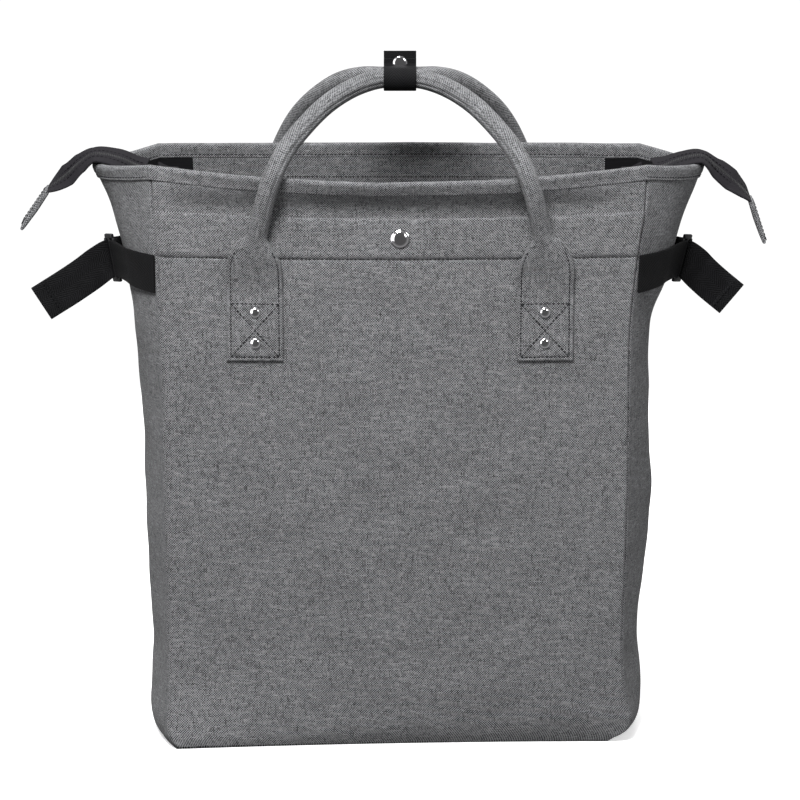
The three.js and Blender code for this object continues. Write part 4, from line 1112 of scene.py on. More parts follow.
    def round_stations(self, step: float = 0.004) -> list[tuple[Panel, float]]:
        """Places once round the body, panel by panel.

        Args:
            step: their spacing in metres.

        Returns:
            The wall and the place across it of each.
        """
        found = []
        for panel in Panel:
            count = round(2 * self.half_length(panel) / step)
            found += [(panel, 2 * k / count - 1) for k in range(count)]
        return found

    def loop(self, share: float, outset: float, step: float = 0.004) -> Array:
        """One level once round the body, with mitred corners.

        Args:
            share: the share of the height.
            outset: how far outward.
            step: the points' spacing.

        Returns:
            Points in metres.
        """
        stations = self.round_stations(step)
        points, normals = np.zeros((len(stations), 3)), np.zeros((len(stations), 3))
        for panel in Panel:
            chosen = [k for k, (p, _) in enumerate(stations) if p is panel]
            across = np.array([stations[k][1] for k in chosen])
            points[chosen] = self.at(panel, across, np.full(len(across), share))
            inward = np.clip(across, -0.985, 0.985)
            normals[chosen] = self.normal(panel, inward, np.full(len(across), share))
        before, after = unit(points - np.roll(points, 1, 0)), unit(np.roll(points, -1, 0) - points)
        turn = np.clip((before * after).sum(-1), -1, 1)
        flat = unit(before + after)
        outward = unit(np.cross(flat, np.array([0, 0, 1.0])))
        lifted = unit(outward * np.linalg.norm(normals[:, :2], axis=1)[:, None] + normals * [0, 0, 1])
        corner = 1 / np.maximum(np.sqrt((1 + turn) / 2), 0.6)
        return points + lifted * (outset * corner)[:, None]


class Side(Enum):
    """The bag's left and right as the photograph shows them, with their direction along x."""

    LEFT = -1
    RIGHT = 1

    @property
    def word(self) -> str:
        """The side's name in lower case."""
        return self.name.lower()

    @property
    def panel(self) -> Panel:
        """The side's gusset."""
        return Panel[self.name]


@dataclass(frozen=True)
class Row:
    """One row of a ribbon: its middle, the direction across it and its thickness."""

    at: Array
    across: Array
    thick: float


def flat_profile(columns: int, round_share: float) -> tuple[Array, Array]:
    """Half of a flat strip's section with rounded edges.

    Args:
        columns: about how many points lie across it.
        round_share: the share of its half width that its edge takes to round off.

    Returns:
        Places across it from -1 to 1, and its half thickness there as a share.
    """
    edge = 1 - round_share * (1 - np.cos(np.linspace(0, math.pi / 2, 5)))
    places = np.concatenate([-edge, np.linspace(edge.min() * -1, edge.min(), columns), edge])
    places = np.unique(np.round(places, 5))
    outside = np.maximum(np.abs(places) - (1 - round_share), 0) / round_share
    return places, np.maximum(np.sqrt(np.maximum(1 - outside**2, 0)), 0.12)


def ribbon(
    name: str,
    rows: Sequence[Row],
    width: float,
    material: bpy.types.Material,
    step: float = 0.0015,
    columns: int = 12,
    sway: float = 0.0,
    turned: bool = False,
) -> bpy.types.Object:
    """A flat strip along a smooth line.

    Args:
        name: the piece's name.
        rows: the rows that it passes through.
        width: how wide it is.
        material: its finish.
        step: the spacing of its sections.
        columns: how many points it has across its flat part.
        sway: how far its face lies in gentle waves.
        turned: the cloth's warp runs across it.

    Returns:
        The object.
    """
    points = np.array([row.at for row in rows])
    knots = np.linspace(0, 1, len(rows))
    count = max(6, round(lengths(points)[-1] / step))
    t = np.linspace(0, 1, count + 1)
    centres = spline(points, t)
    across = unit(points_at(t, knots, [row.across for row in rows]))
    thick = np.interp(t, knots, [row.thick for row in rows])
    tangent = unit(np.gradient(centres, axis=0))
    across = unit(across - tangent * (across * tangent).sum(1, keepdims=True))
    face = np.cross(tangent, across)
    places, share = flat_profile(columns, min(0.4, float(thick.mean()) / width))
    run = lengths(centres)[:, None]
    lift = sway * np.sin(run * 160 + places[None] * 1.5) * np.sin(run * 61 + 1.0)
    middle = centres[:, None] + across[:, None] * (places * width / 2)[None, :, None]
    middle = middle + face[:, None] * lift[..., None]
    half = face[:, None] * (thick[:, None] * share[None] / 2)[..., None]
    sections = np.concatenate([middle + half, (middle - half)[:, ::-1]], axis=1)
    return loft(name, sections, material, turned=turned, sharp=60)


def strip_around(
    name: str, line: Array, thickness: float, half_width: float, material: bpy.types.Material
) -> bpy.types.Object:
    """A strip whose line lies in the plane across x.

    Args:
        name: the piece's name.
        line: its middle line.
        thickness: the cloth's thickness.
        half_width: half its width.
        material: its finish.

    Returns:
        The object.
    """
    rows = [Row(point, np.array([1.0, 0, 0]), thickness) for point in line]
    return ribbon(name, rows, 2 * half_width, material, step=0.0008)


@dataclass
class Sewing:
    """Rows of stitches in one thread."""

    thread: bpy.types.Material
    length: float = 0.0029
    pitch: float = 0.0032
    radius: float = 0.00042
    sides: int = 6

    def run(self, name: str, line: Array, outward: Array) -> bpy.types.Object:
        """Stitches along a line on cloth.

        Args:
            name: the piece's name.
            line: points on the cloth.
            outward: the cloth's outward direction at each of them.

        Returns:
            The object.
        """
        run = lengths(line)
        count = max(1, int(run[-1] / self.pitch))
        starts = (np.arange(count) + 0.5) * run[-1] / count
        at, up = points_at(starts, run, line), unit(points_at(starts, run, outward))
        behind, ahead = (points_at(starts + k * self.length / 2, run, line) for k in (-1, 1))
        way = unit(ahead - behind)
        beside = np.cross(way, up)
        angles = np.arange(self.sides) * 2 * math.pi / self.sides
        rings = ((-0.36, 0.75, -0.1), (-0.15, 1.0, 0.25), (0.15, 1.0, 0.25), (0.36, 0.75, -0.1))
        template = [(-0.5, 0, 0, -1.0)]
        for place, size, rise in rings:
            template += [(place, size * math.cos(a), size * math.sin(a), rise) for a in angles]
        template.append((0.5, 0, 0, -1.0))
        faces = []
        last = 1 + len(rings) * self.sides
        for k in range(self.sides):
            l = (k + 1) % self.sides
            faces.append((0, 1 + l, 1 + k))
            for ring in range(len(rings) - 1):
                a, b = 1 + ring * self.sides, 1 + (ring + 1) * self.sides
                faces += [(a + k, a + l, b + l), (a + k, b + l, b + k)]
            faces.append((last, last - self.sides + k, last - self.sides + l))
        along, out, rise, lift = np.array(template).T
        vertices = (
            at[:, None]
            + way[:, None] * (along * self.length)[None, :, None]
            + beside[:, None] * (out * self.radius)[None, :, None]
            + up[:, None] * ((rise + lift) * self.radius)[None, :, None]
        ).reshape(-1, 3)
        each = np.array(faces)
        every = (np.arange(count)[:, None, None] * len(template) + each[None]).reshape(-1, 3)
        uv = np.tile(np.stack([along * self.length, out * self.radius], 1)[each.ravel()], (count, 1))
        return make_mesh(name, vertices, every.tolist(), uv, self.thread)


def dress(piece: bpy.types.Object, slot: str, *nodes: str) -> bpy.types.Object:
    """Seats a finished piece on the bag.

    Args:
        piece: the piece.
        slot: the name of a material slot; not used.
        nodes: the solids that it takes the place of.

    Returns:
        The piece.
    """
    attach(piece, "root")
    if nodes:
        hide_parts(*nodes)
    log.info("%s: %d faces", piece.name, len(piece.data.polygons))
    return piece


# The layers of cloth at the walls, measured outward from the walls' outer face
WALL_CLOTH = 0.0015
LAYER_GAP = 0.0003
POCKET_CLOTH = 0.0013
POCKET_FACE = LAYER_GAP + POCKET_CLOTH
LINING_OUTER = WALL_CLOTH + LAYER_GAP
LINING_CLOTH = 0.001
PLACKET_OUTER = LINING_OUTER + LINING_CLOTH + LAYER_GAP
PLACKET_CLOTH = 0.0012
WALL_FOOT = 0.0023
HEM_FOOT = 0.45
RIM = 0.461


@dataclass
class Walls:
    """The front, the back, the gussets and the base."""

    body: Body
    finishes: Finishes
    step: float = 0.0042
    top: float = 0.4596

    def build(self) -> None:
        """Makes and seats the walls."""
        names = {
            Panel.FRONT: ("front_wall", "front_panel", (0.385, 0.466)),
            Panel.BACK: ("back_wall", "back_panel", (0.385, 0.466)),
            Panel.LEFT: ("gusset_wall_left", "gusset_left", (0.17, 0.466)),
            Panel.RIGHT: ("gusset_wall_right", "gusset_right", (0.17, 0.466)),
        }
        heights = steps(WALL_FOOT, self.top, self.step, (0.006, 0.452))
        for panel, (name, node, flat) in names.items():
            wall = self.body.shell(name, panel, heights, 0.0, WALL_CLOTH, self.finishes.heather, self.step)
            dress(wall, "heather", node)
        loop = self.body.loop(0.002 / self.body.height, 0.0)
        loop[:, 2] = 0.002
        base = dress(disc("base_cloth", loop, 0.002, self.finishes.heather), "heather", "base_panel")


@dataclass
class LiningBag:
    """The loose black bag inside the walls."""

    body: Body
    finishes: Finishes
    top: float = 0.4497

    def build(self) -> None:
        """Makes and seats the lining."""
        heights = steps(WALL_FOOT + 0.001, self.top, 0.011)
        loops = [self.body.loop(z / self.body.height, -LINING_OUTER, 0.006) for z in heights]
        depth = -LINING_OUTER - LINING_CLOTH
        inner = [self.body.loop(z / self.body.height, depth, 0.006) for z in heights]
        sections = np.concatenate([np.array(loops), np.array(inner)[::-1]]).transpose(1, 0, 2)
        wall = loft("lining_bag", sections, self.finishes.lining, ring=True)
        floor_loop = self.body.loop(WALL_FOOT / self.body.height, -LINING_OUTER - LINING_CLOTH / 2, 0.006)
        floor_loop[:, 2] = WALL_FOOT + LINING_CLOTH
        floor = disc("lining_floor", floor_loop, LINING_CLOTH, self.finishes.lining)
        bag = dress(joined("lining_bag", [wall, floor]), "lining", "lining")


@dataclass
class RimHem:
    """The cloth strip folded over the whole rim, with its row of stitches."""

    body: Body
    finishes: Finishes
    sewing: Sewing
    leaf: float = 0.0011
    stitch_rise: float = 0.0022

    def turned_in(self) -> Array:
        """How far the hem's edge is turned inside, at each station round the rim."""
        stations = self.body.round_stations(0.003)
        return np.array([1 - abs(a) ** 12 if panel is Panel.FRONT else 0.0 for panel, a in stations])

    def build(self) -> None:
        """Makes and seats the hem and its stitches."""
        out, inside = LAYER_GAP + self.leaf, LINING_OUTER + self.leaf
        swell = 0.0003
        profile = [
            (out - 0.0003, HEM_FOOT),
            (out, HEM_FOOT + 0.0006),
            (out - 0.0004, HEM_FOOT + self.stitch_rise),
            (out + swell, HEM_FOOT + 0.005),
            (out + swell, HEM_FOOT + 0.008),
            (out, RIM - 0.0012),
            (lerp(out, -inside, 0.12), RIM - 0.0003),
            (lerp(out, -inside, 0.32), RIM + 0.0003),
            (lerp(out, -inside, 0.68), RIM + 0.0003),
            (lerp(out, -inside, 0.88), RIM - 0.0003),
            (-inside, RIM - 0.0012),
            (-inside, HEM_FOOT + 0.006),
            (-inside + 0.0004, HEM_FOOT + self.stitch_rise),
            (-inside, HEM_FOOT + 0.0006),
            (-inside + 0.0003, HEM_FOOT),
            (-LINING_OUTER - 0.0001, HEM_FOOT),
            (-LINING_OUTER - 0.0001, RIM - 0.0011),
            (LAYER_GAP, RIM - 0.0011),
            (LAYER_GAP, RIM - 0.004),
            (LAYER_GAP, HEM_FOOT),
        ]
        loops = []
        for outset, z in profile:
            share = min(z / self.body.height, 1)
            loop = self.body.loop(share, outset, 0.003)
            if 0 < outset and z < HEM_FOOT + 0.007:
                flush = self.body.loop(share, LAYER_GAP + 0.0002, 0.003)
                loop = lerp(loop, flush, self.turned_in()[:, None])
            loop[:, 2] += z - share * self.body.height
            loops.append(loop)
        sections = np.array(loops).transpose(1, 0, 2)
        hem = dress(loft("rim_binding", sections, self.finishes.heather, ring=True), "heather", "rim_hem")
        for word, outset in (("outside", out - 0.0004), ("inside", -inside + 0.0004)):
            share = (HEM_FOOT + self.stitch_rise) / self.body.height
            line = self.body.loop(share, outset, 0.003)
            line = np.vstack([line, line[:1]])
            if word == "outside":
                line = line[np.append(self.turned_in(), 1) < 0.01]
            way = unit(np.gradient(line, axis=0))
            away = unit(np.cross(way, [0, 0, 1.0])) * (1 if word == "outside" else -1)
            dress(self.sewing.run(f"hem_stitches_{word}", line, away), "heather")


@dataclass
class FrontPocket:
    """The full-width slip pocket with its hem, and the stud that closes it."""

    body: Body
    finishes: Finishes
    sewing: Sewing
    top: float = 0.426
    hem_drop: float = 0.0352
    stud_height: float = 0.408
    stud_radius: float = 0.0076

    def outset(self, across: Array, height: Array) -> Array:
        """How far the pocket's outer face stands out.

        Args:
            across: places across the front.
            height: their heights.

        Returns:
            The distances.
        """
        drop = self.top - height
        groove = -0.0007 * np.exp(-(((drop - self.hem_drop) / 0.0011) ** 2))
        hem = 0.0009 * smooth(self.hem_drop - drop, 0, 0.003)
        lip = -0.0006 * (1 - smooth(drop, 0, 0.0016))
        slack = 0.0011 * smooth(0.02 - drop, 0, 0.02) * (1 - across**8)
        lift = 0.0004 * np.sin(33 * across + 2) * (1 - smooth(drop, 0, 0.04)) * (1 - across**8)
        return POCKET_FACE + groove + hem + lip + slack + lift

    def build(self) -> None:
        """Makes and seats the pocket, its stitches and its stud."""
        heather, hem = self.finishes.heather, self.top - self.hem_drop
        heights = steps(WALL_FOOT, self.top, 0.0038, (hem, self.top - 0.0005, 0.006))
        cloth = self.body.shell(
            "pocket_cloth", Panel.FRONT, heights, self.outset, POCKET_CLOTH, heather, 0.0038
        )
        dress(cloth, "heather", "front_pocket")
        across = np.linspace(-0.97, 0.97, 220)
        height = np.full(220, hem)
        line = self.body.at(Panel.FRONT, across, height / self.body.height, self.outset(across, height))
        outward = self.body.normal(Panel.FRONT, across, height / self.body.height)
        dress(self.sewing.run("pocket_hem_stitches", line, outward), "heather")
        seat, outward, _ = self.body.seat(Panel.FRONT, 0.0, self.stud_height)
        rise, r = 0.0028, self.stud_radius
        profile = (
            (0, -0.001), (r * 0.96, -0.001), (r, 0.0002), (r, 0.0008), (r * 0.96, 0.0014),
            (r * 0.9, 0.0015), (r * 0.86, 0.0016), (r * 0.78, 0.0021), (r * 0.6, rise * 0.93),
            (r * 0.35, rise), (0, rise * 1.02),
        )
        place = seat + outward * (POCKET_FACE + 0.0018)
        stud = lathe("stud_dome", profile, place, outward, self.finishes.steel, 64)
        dress(stud, "steel", "pocket_stud")


@dataclass(frozen=True)
class LegPoint:
    """A place on a handle's leg, as shares of its spread, the half depth and its rise."""

    side: float
    out: float
    rise: float


FRONT_LEG = (
    LegPoint(0.975, 1.165, 0.17), LegPoint(0.93, 1.22, 0.36), LegPoint(0.865, 1.23, 0.53),
    LegPoint(0.785, 1.09, 0.655), LegPoint(0.67, 0.85, 0.765), LegPoint(0.5, 0.53, 0.885),
    LegPoint(0.31, 0.27, 0.965), LegPoint(0.13, 0.115, 1),
)
BACK_LEG = (
    LegPoint(0.975, 1.07, 0.17), LegPoint(0.92, 1.06, 0.36), LegPoint(0.84, 1.0, 0.54),
    LegPoint(0.725, 0.8, 0.72), LegPoint(0.575, 0.56, 0.86), LegPoint(0.415, 0.36, 0.955),
    LegPoint(0.26, 0.2, 0.995), LegPoint(0.13, 0.115, 1),
)


@dataclass
class Handle:
    """A rolled handle with a flared, sewn and riveted patch at each end."""

    body: Body
    finishes: Finishes
    sewing: Sewing
    panel: Panel
    leg: tuple[LegPoint, ...]
    stack: float
    spread: float = 0.112
    diameter: float = 0.015
    gap: float = 0.0016
    rise: float = 0.1338
    apex: float = 0.5218
    patch_width: float = 0.044
    patch_cloth: float = 0.0023
    patch_gap: float = 0.0004
    shoulder: float = 0.388
    foot: float = 0.311
    flare: float = 0.026
    border: float = 0.0034
    box: float = 0.045
    rounding: tuple[float, float] = (-0.013, 0.02)
    swell: tuple[float, float] = (-0.03, 0.045)
    leave: float = 0.06
    pleat: float = 0.0011
    groove: float = 0.0005
    groove_width: float = 0.0008
    creases: tuple[tuple[float, float], ...] = ((0.42, 0.0008), (-0.15, 0.0005), (-0.62, 0.0006))
    rivet_radius: float = 0.0045
    rivet_height: float = 0.0023
    rivet_lifts: tuple[float, float] = (0.0145, 0.0385)

    @property
    def word(self) -> str:
        """The panel's name."""
        return self.panel.value

    def fitted(self, x: Array, z: Array, outset: Array | float) -> Array:
        """Points that lie on the panel's cloth at x and z.

        Args:
            x: their places along x.
            z: their heights.
            outset: how far outward.

        Returns:
            Points in metres.
        """
        share = np.clip(z / self.body.height, 0, 1)
        first = self.body.bare(self.panel, np.full_like(share, -1.0), share)[..., 0]
        last = self.body.bare(self.panel, np.full_like(share, 1.0), share)[..., 0]
        across = 2 * (x - first) / (last - first) - 1
        return self.body.at(self.panel, across, share, outset)

    def half_width(self, from_end: Array) -> Array:
        """Half the cloth's width, from the patch over its round shoulders to the roll.

        Args:
            from_end: the distance.

        Returns:
            Half the width.
        """
        low, high = (self.shoulder - self.foot + place for place in self.rounding)
        t = np.clip((from_end - low) / (high - low), 0, 1)
        shoulder = lerp(1 - np.sqrt(1 - t**2), smooth(from_end, low + 0.008, high + 0.008), 0.45)
        return lerp(self.patch_width, self.diameter, shoulder) / 2

    def thickness(self, from_end: Array) -> Array:
        """The thickness of the flat cloth that swells into the roll.

        Args:
            from_end: the distance from the patch's foot.

        Returns:
            The thickness.
        """
        patch = self.shoulder - self.foot
        swell = smooth(from_end, patch + self.swell[0], patch + self.swell[1])
        return lerp(self.patch_cloth, self.diameter, swell)

    def curve(self) -> Array:
        """The handle's middle line, from one patch's foot to the other's.

        Returns:
            The points that it passes through.
        """
        facing = -1 if self.panel is Panel.FRONT else 1

        def half(side: int) -> list[Array]:
            """The line's points on one side, from the patch's foot up.

            Args:
                side: -1 for the left or 1 for the right.

            Returns:
                The points.
            """
            points = []
            for k in (0, 0.33, 0.66, 1):
                seat, outward, _ = self.body.seat(self.panel, side * self.spread, lerp(self.foot, 0.392, k))
                points.append(seat + outward * (self.stack + self.patch_gap + self.patch_cloth / 2))
            for row in self.leg:
                x, y = side * row.side * self.spread, facing * row.out * self.body.half_depth
                points.append(np.array([x, y, self.shoulder + row.rise * self.rise]))
            return points

        top = np.array([0, facing * (self.diameter + self.gap) / 2, self.apex])
        return np.array([*half(-1), top, *half(1)[::-1]])

    def roll(self) -> bpy.types.Object:
        """The handle's cloth in one piece."""
        facing = np.array([0, -1.0 if self.panel is Panel.FRONT else 1.0, 0])
        knots = self.curve()
        fine = spline(knots, np.linspace(0, 1, 3000))
        run = lengths(fine)
        total = run[-1]
        patch = self.shoulder - self.foot
        places = steps(0, total, 0.0022, (0.0004, self.border, total - self.border, total - 0.0004), 0.0018)
        centres = points_at(places, run, fine)
        tangent = unit(np.gradient(centres, places, axis=0))
        from_end = np.minimum(places, total - places)
        rolled = smooth(from_end, patch, patch + self.flare)
        _, seat_normal, _ = self.body.seat(self.panel, -self.spread, self.shoulder)
        side = np.where(places < total / 2, -1, 1)
        _, other, _ = self.body.seat(self.panel, self.spread, self.shoulder)
        normals = np.where((side < 0)[:, None], seat_normal, other)
        outward = lerp(normals, facing[None], rolled[:, None])
        outward = unit(outward - tangent * (outward * tangent).sum(1, keepdims=True))
        across = np.cross(tangent, outward)
        width = 2 * self.half_width(from_end)
        thick = self.thickness(from_end)
        edges = np.array([0.0, 0.3, 0.6, 0.85, 1.0])
        grooved = -self.border + self.groove_width * np.array([-1, 0, 1])
        inner = grooved / (self.patch_width / 2) + 1
        columns = np.concatenate([1 - 0.05 * (1 - edges), inner, np.linspace(0, 0.76, 12)])
        columns = np.unique(np.round(np.concatenate([columns, -columns]), 4))
        flat_half = np.sqrt(np.maximum(1 - np.maximum((np.abs(columns) - 0.95) / 0.05, 0) ** 2, 0.02))
        even = np.linspace(-math.pi / 2 * 0.995, math.pi / 2 * 0.995, len(columns))
        sections = []
        for k in range(len(places)):
            r = rolled[k]
            spot = lerp(columns, np.sin(even), r)
            lift = lerp(flat_half, np.cos(even), r)
            off_border = (np.abs(spot) - (1 - self.border / (self.patch_width / 2))) * self.patch_width / 2
            groove = self.groove * np.exp(-((off_border / self.groove_width) ** 2))
            if from_end[k] < patch:
                low = math.exp(-(((from_end[k] - self.border) / self.groove_width) ** 2))
                groove = np.maximum(groove, self.groove * low)
            pleat = self.pleat * 4 * r * (1 - r) * np.cos(spot * 9.0)
            crease = sum(
                depth * np.exp(-(((spot - place) * self.diameter / 2 / self.groove_width) ** 2))
                for place, depth in self.creases
            )
            pleat = pleat - crease * r
            end = 1 - 0.75 * math.exp(-((from_end[k] / 0.0005) ** 2))
            half = thick[k] / 2
            front = centres[k] + across[k] * (spot * width[k] / 2)[:, None]
            top = front + outward[k] * ((half * lift - groove * (1 - r)) * end + pleat)[:, None]
            under = front - outward[k] * (half * lift * end)[:, None]
            if from_end[k] < patch + self.leave:
                base = self.stack + self.patch_gap + half
                near = self.fitted(front[:, 0], front[:, 2], base + ((half * lift - groove) * end))
                inside = self.fitted(front[:, 0], front[:, 2], base - half * lift * end)
                hold = 1 - float(smooth(from_end[k], patch + 0.002, patch + self.leave))
                top, under = lerp(top, near, hold), lerp(under, inside, hold)
            sections.append(np.concatenate([top, under[::-1]]))
        return loft(f"handle_roll_{self.word}", np.array(sections), self.finishes.heather, sharp=50)

    def stitches(self) -> bpy.types.Object:
        """The patches' stitches: a border and a crossed box."""
        seat = self.stack + self.patch_gap - 0.0004
        facing = np.array([0, -1.0 if self.panel is Panel.FRONT else 1.0, 0])
        rows = []
        for side in Side:
            x0, half = side.value * self.spread, self.patch_width / 2 - self.border
            low, box = self.foot + self.border, self.foot + self.box
            rises = np.linspace(self.shoulder - 0.014, self.shoulder + 0.009, 9)
            edge = [(float(self.half_width(z - self.foot)) - self.border, float(z)) for z in rises]
            border = [(-a, z) for a, z in edge[::-1]] + [(-half, low), (half, low)] + edge
            paths = (
                tuple(border),
                ((-half, box), (half, box)),
                ((-half, low), (half, box)),
                ((-half, box), (half, low)),
            )
            for number, path in enumerate(paths):
                corners = np.array(path)
                run = lengths(corners)
                t = np.linspace(0, run[-1], 120)
                x = x0 + np.interp(t, run, corners[:, 0])
                z = np.interp(t, run, corners[:, 1])
                level = seat + self.thickness(z - self.foot) + (0.0005 if number else 0.0002)
                line = self.fitted(x, z, level)
                rows.append(self.sewing.run(f"patch_{side.word}_{number}", line, np.tile(facing, (120, 1))))
        return joined(f"patch_stitches_{self.word}", rows)

    def seam(self) -> bpy.types.Object:
        """The row of stitches that closes the roll on its inner side."""
        fine = spline(self.curve(), np.linspace(0, 1, 1200))
        run = lengths(fine)
        keep = (run > 0.105) & (run < run[-1] - 0.105)
        line, way = fine[keep], unit(np.gradient(fine, axis=0))[keep]
        facing = np.array([0, 1.0 if self.panel is Panel.FRONT else -1.0, 0])
        away = unit(np.cross(way, [0, 1.0, 0]))
        away = unit(away * np.sign((away * [0, 0, -1.0]).sum(1, keepdims=True) + 1e-9) * 0.55 + facing)
        away = unit(away - way * (away * way).sum(1, keepdims=True))
        return self.sewing.run(f"roll_stitches_{self.word}", line + away * (self.diameter / 2 - 0.0001), away)

    def build(self) -> None:
        """Makes and seats the handle, its stitches and its rivets."""
        roll = dress(self.roll(), "heather", f"handle_{self.word}")
        dress(self.stitches(), "heather")
        dress(self.seam(), "heather")
        r, h = self.rivet_radius, self.rivet_height
        profile = (
            (0, -0.0006), (r * 0.96, -0.0006), (r, 0.0002), (r * 0.98, h * 0.28),
            (r * 0.9, h * 0.52), (r * 0.76, h * 0.74), (r * 0.56, h * 0.9), (r * 0.3, h * 0.98), (0, h),
        )
        for side in Side:
            for word, lift in zip(("lower", "upper"), self.rivet_lifts, strict=True):
                x, z = side.value * self.spread, self.foot + lift
                face = self.stack + self.patch_gap + self.patch_cloth
                _, outward, _ = self.body.seat(self.panel, x, z)
                seat = self.fitted(np.array([x]), np.array([z]), face)[0] + outward * 0.0003
                name = f"{self.word}_{side.word}_{word}"
                cap = lathe(f"rivet_cap_{name}", profile, seat, outward, self.finishes.steel)
                dress(cap, "steel", f"rivet_{name}")


@dataclass
class HandleWrap:
    """The webbing that holds both handles together, and its snap."""

    finishes: Finishes
    apex: float = 0.5218
    radius: float = 0.0087
    apart: float = 0.0083
    tab_apart: float = 0.0026
    front_tab: float = 0.012
    back_tab: float = 0.0065
    snap_radius: float = 0.0056
    half_width: float = 0.01275
    webbing: float = 0.0016

    def bend(self, side: int, angle: float) -> Array:
        """A point where the webbing lies round a handle."""
        y = side * (self.apart + self.radius * math.sin(angle))
        return np.array([0, y, self.apex + self.radius * math.cos(angle)])

    def tab(self, side: int, height: float) -> list[Array]:
        """The standing end of the webbing on one side, from its tip down.

        Args:
            side: 1 for the back or -1 for the front.
            height: how high it stands.

        Returns:
            Points of its line.
        """
        crown = self.apex + self.radius
        rises = (height, lerp(height, 0.0025, 0.5), 0.0025)
        points = [np.array([0, side * self.tab_apart, crown + rise]) for rise in rises]
        return [*points, np.array([0, side * (self.tab_apart + 0.00125), crown + 0.000625])]

    def build(self) -> None:
        """Makes and seats the wrap and the snap."""
        angles = np.linspace(0.15, math.pi, 14)
        line = [*self.tab(1, self.front_tab)]
        line += [self.bend(1, a) for a in angles]
        line += [self.bend(-1, a) for a in angles[::-1]]
        line += self.tab(-1, self.back_tab)[::-1]
        webbing = self.finishes.webbing
        wrap = strip_around("wrap_webbing", np.array(line), self.webbing, self.half_width, webbing)
        dress(wrap, "webbing", "handle_wrap")
        seat = np.array([0, 0, self.apex + self.radius + 0.0031])
        r = self.snap_radius
        profile = (
            (0, -0.0048), (r * 0.9, -0.0048), (r, -0.0042), (r, -0.0036), (r * 0.5, -0.0034),
            (r * 0.5, 0.0034), (r, 0.0036), (r, 0.0042), (r * 0.9, 0.0047), (r * 0.6, 0.0049),
            (r * 0.3, 0.0048), (0, 0.0048),
        )
        snap = lathe("wrap_snap_disc", profile, seat, np.array([0, -1.0, 0]), self.finishes.steel, 48)
        dress(snap, "steel", "wrap_snap")


@dataclass(frozen=True)
class Slide:
    """A moulded slide with three bars.

    Args:
        bar: the width of each bar.
        slot: the width of each slot.
        slot_length: how long the slots are.
        margin: the width of the sides.
        thickness: how thick it is.
    """

    bar: float
    slot: float
    slot_length: float
    margin: float
    thickness: float = 0.003

    @property
    def length(self) -> float:
        """Its length along the webbing."""
        return 3 * self.bar + 2 * self.slot

    def rail(
        self,
        name: str,
        ends: tuple[Array, Array],
        width: Array,
        size: float,
        face: Array,
        finish: bpy.types.Material,
    ) -> bpy.types.Object:
        """One straight bar with rounded edges.

        Args:
            name: the piece's name.
            ends: its first and last point.
            width: the direction across it.
            size: its width.
            face: the direction of its face.
            finish: its finish.

        Returns:
            The object.
        """
        angles = (np.arange(16) + 0.5) * 2 * math.pi / 16
        c, s = np.cos(angles), np.sin(angles)
        c, s = np.sign(c) * np.abs(c) ** 0.55, np.sign(s) * np.abs(s) ** 0.55
        rows = []
        for t, k in ((0, 0.72), (0.03, 0.93), (0.08, 1), (0.92, 1), (0.97, 0.93), (1, 0.72)):
            at = lerp(ends[0], ends[1], t)
            wide, high = (c * k * size / 2)[:, None], (s * k * self.thickness / 2)[:, None]
            rows.append(at + width * wide + face * high)
        return loft(name, np.array(rows), finish, sharp=40)

    def build(
        self, name: str, foot: Array, along: Array, across: Array, finish: bpy.types.Material
    ) -> bpy.types.Object:
        """Makes the slide.

        Args:
            name: the piece's name.
            foot: the middle of its first edge.
            along: the direction of the webbing.
            across: the direction across the webbing.
            finish: its finish.

        Returns:
            The object.
        """
        face = unit(np.cross(along, across))
        half = self.slot_length / 2 + self.margin
        parts = []
        for k in range(3):
            at = foot + along * (self.bar / 2 + k * (self.bar + self.slot))
            reach = half - (0.001 if k == 1 else 0.0034)
            ends = (at - across * reach, at + across * reach)
            parts.append(self.rail(f"{name}_bar_{k}", ends, along, self.bar, face, finish))
        for side in (-1, 1):
            at = foot + across * side * (half - self.margin / 2)
            ends = (at + along * self.bar * 0.75, at + along * (self.length - self.bar * 0.75))
            parts.append(self.rail(f"{name}_side_{side + 1}", ends, across, self.margin, face, finish))
        return joined(name, parts)


@dataclass(frozen=True)
class TailRow:
    """How a hanging strap lies at one place along it."""

    along: float
    swing: float
    turn: float
    folds: float


SIDE_TAIL = (
    TailRow(0.14, 0.55, 0.35, 1), TailRow(0.3, 0.8, 0.75, 1), TailRow(0.5, 0.95, 0.93, 1),
    TailRow(0.68, 1, 1, 1), TailRow(0.8, 1, 1, 1), TailRow(0.82, 1, 1, 2.2), TailRow(1, 1, 1, 2.2),
)


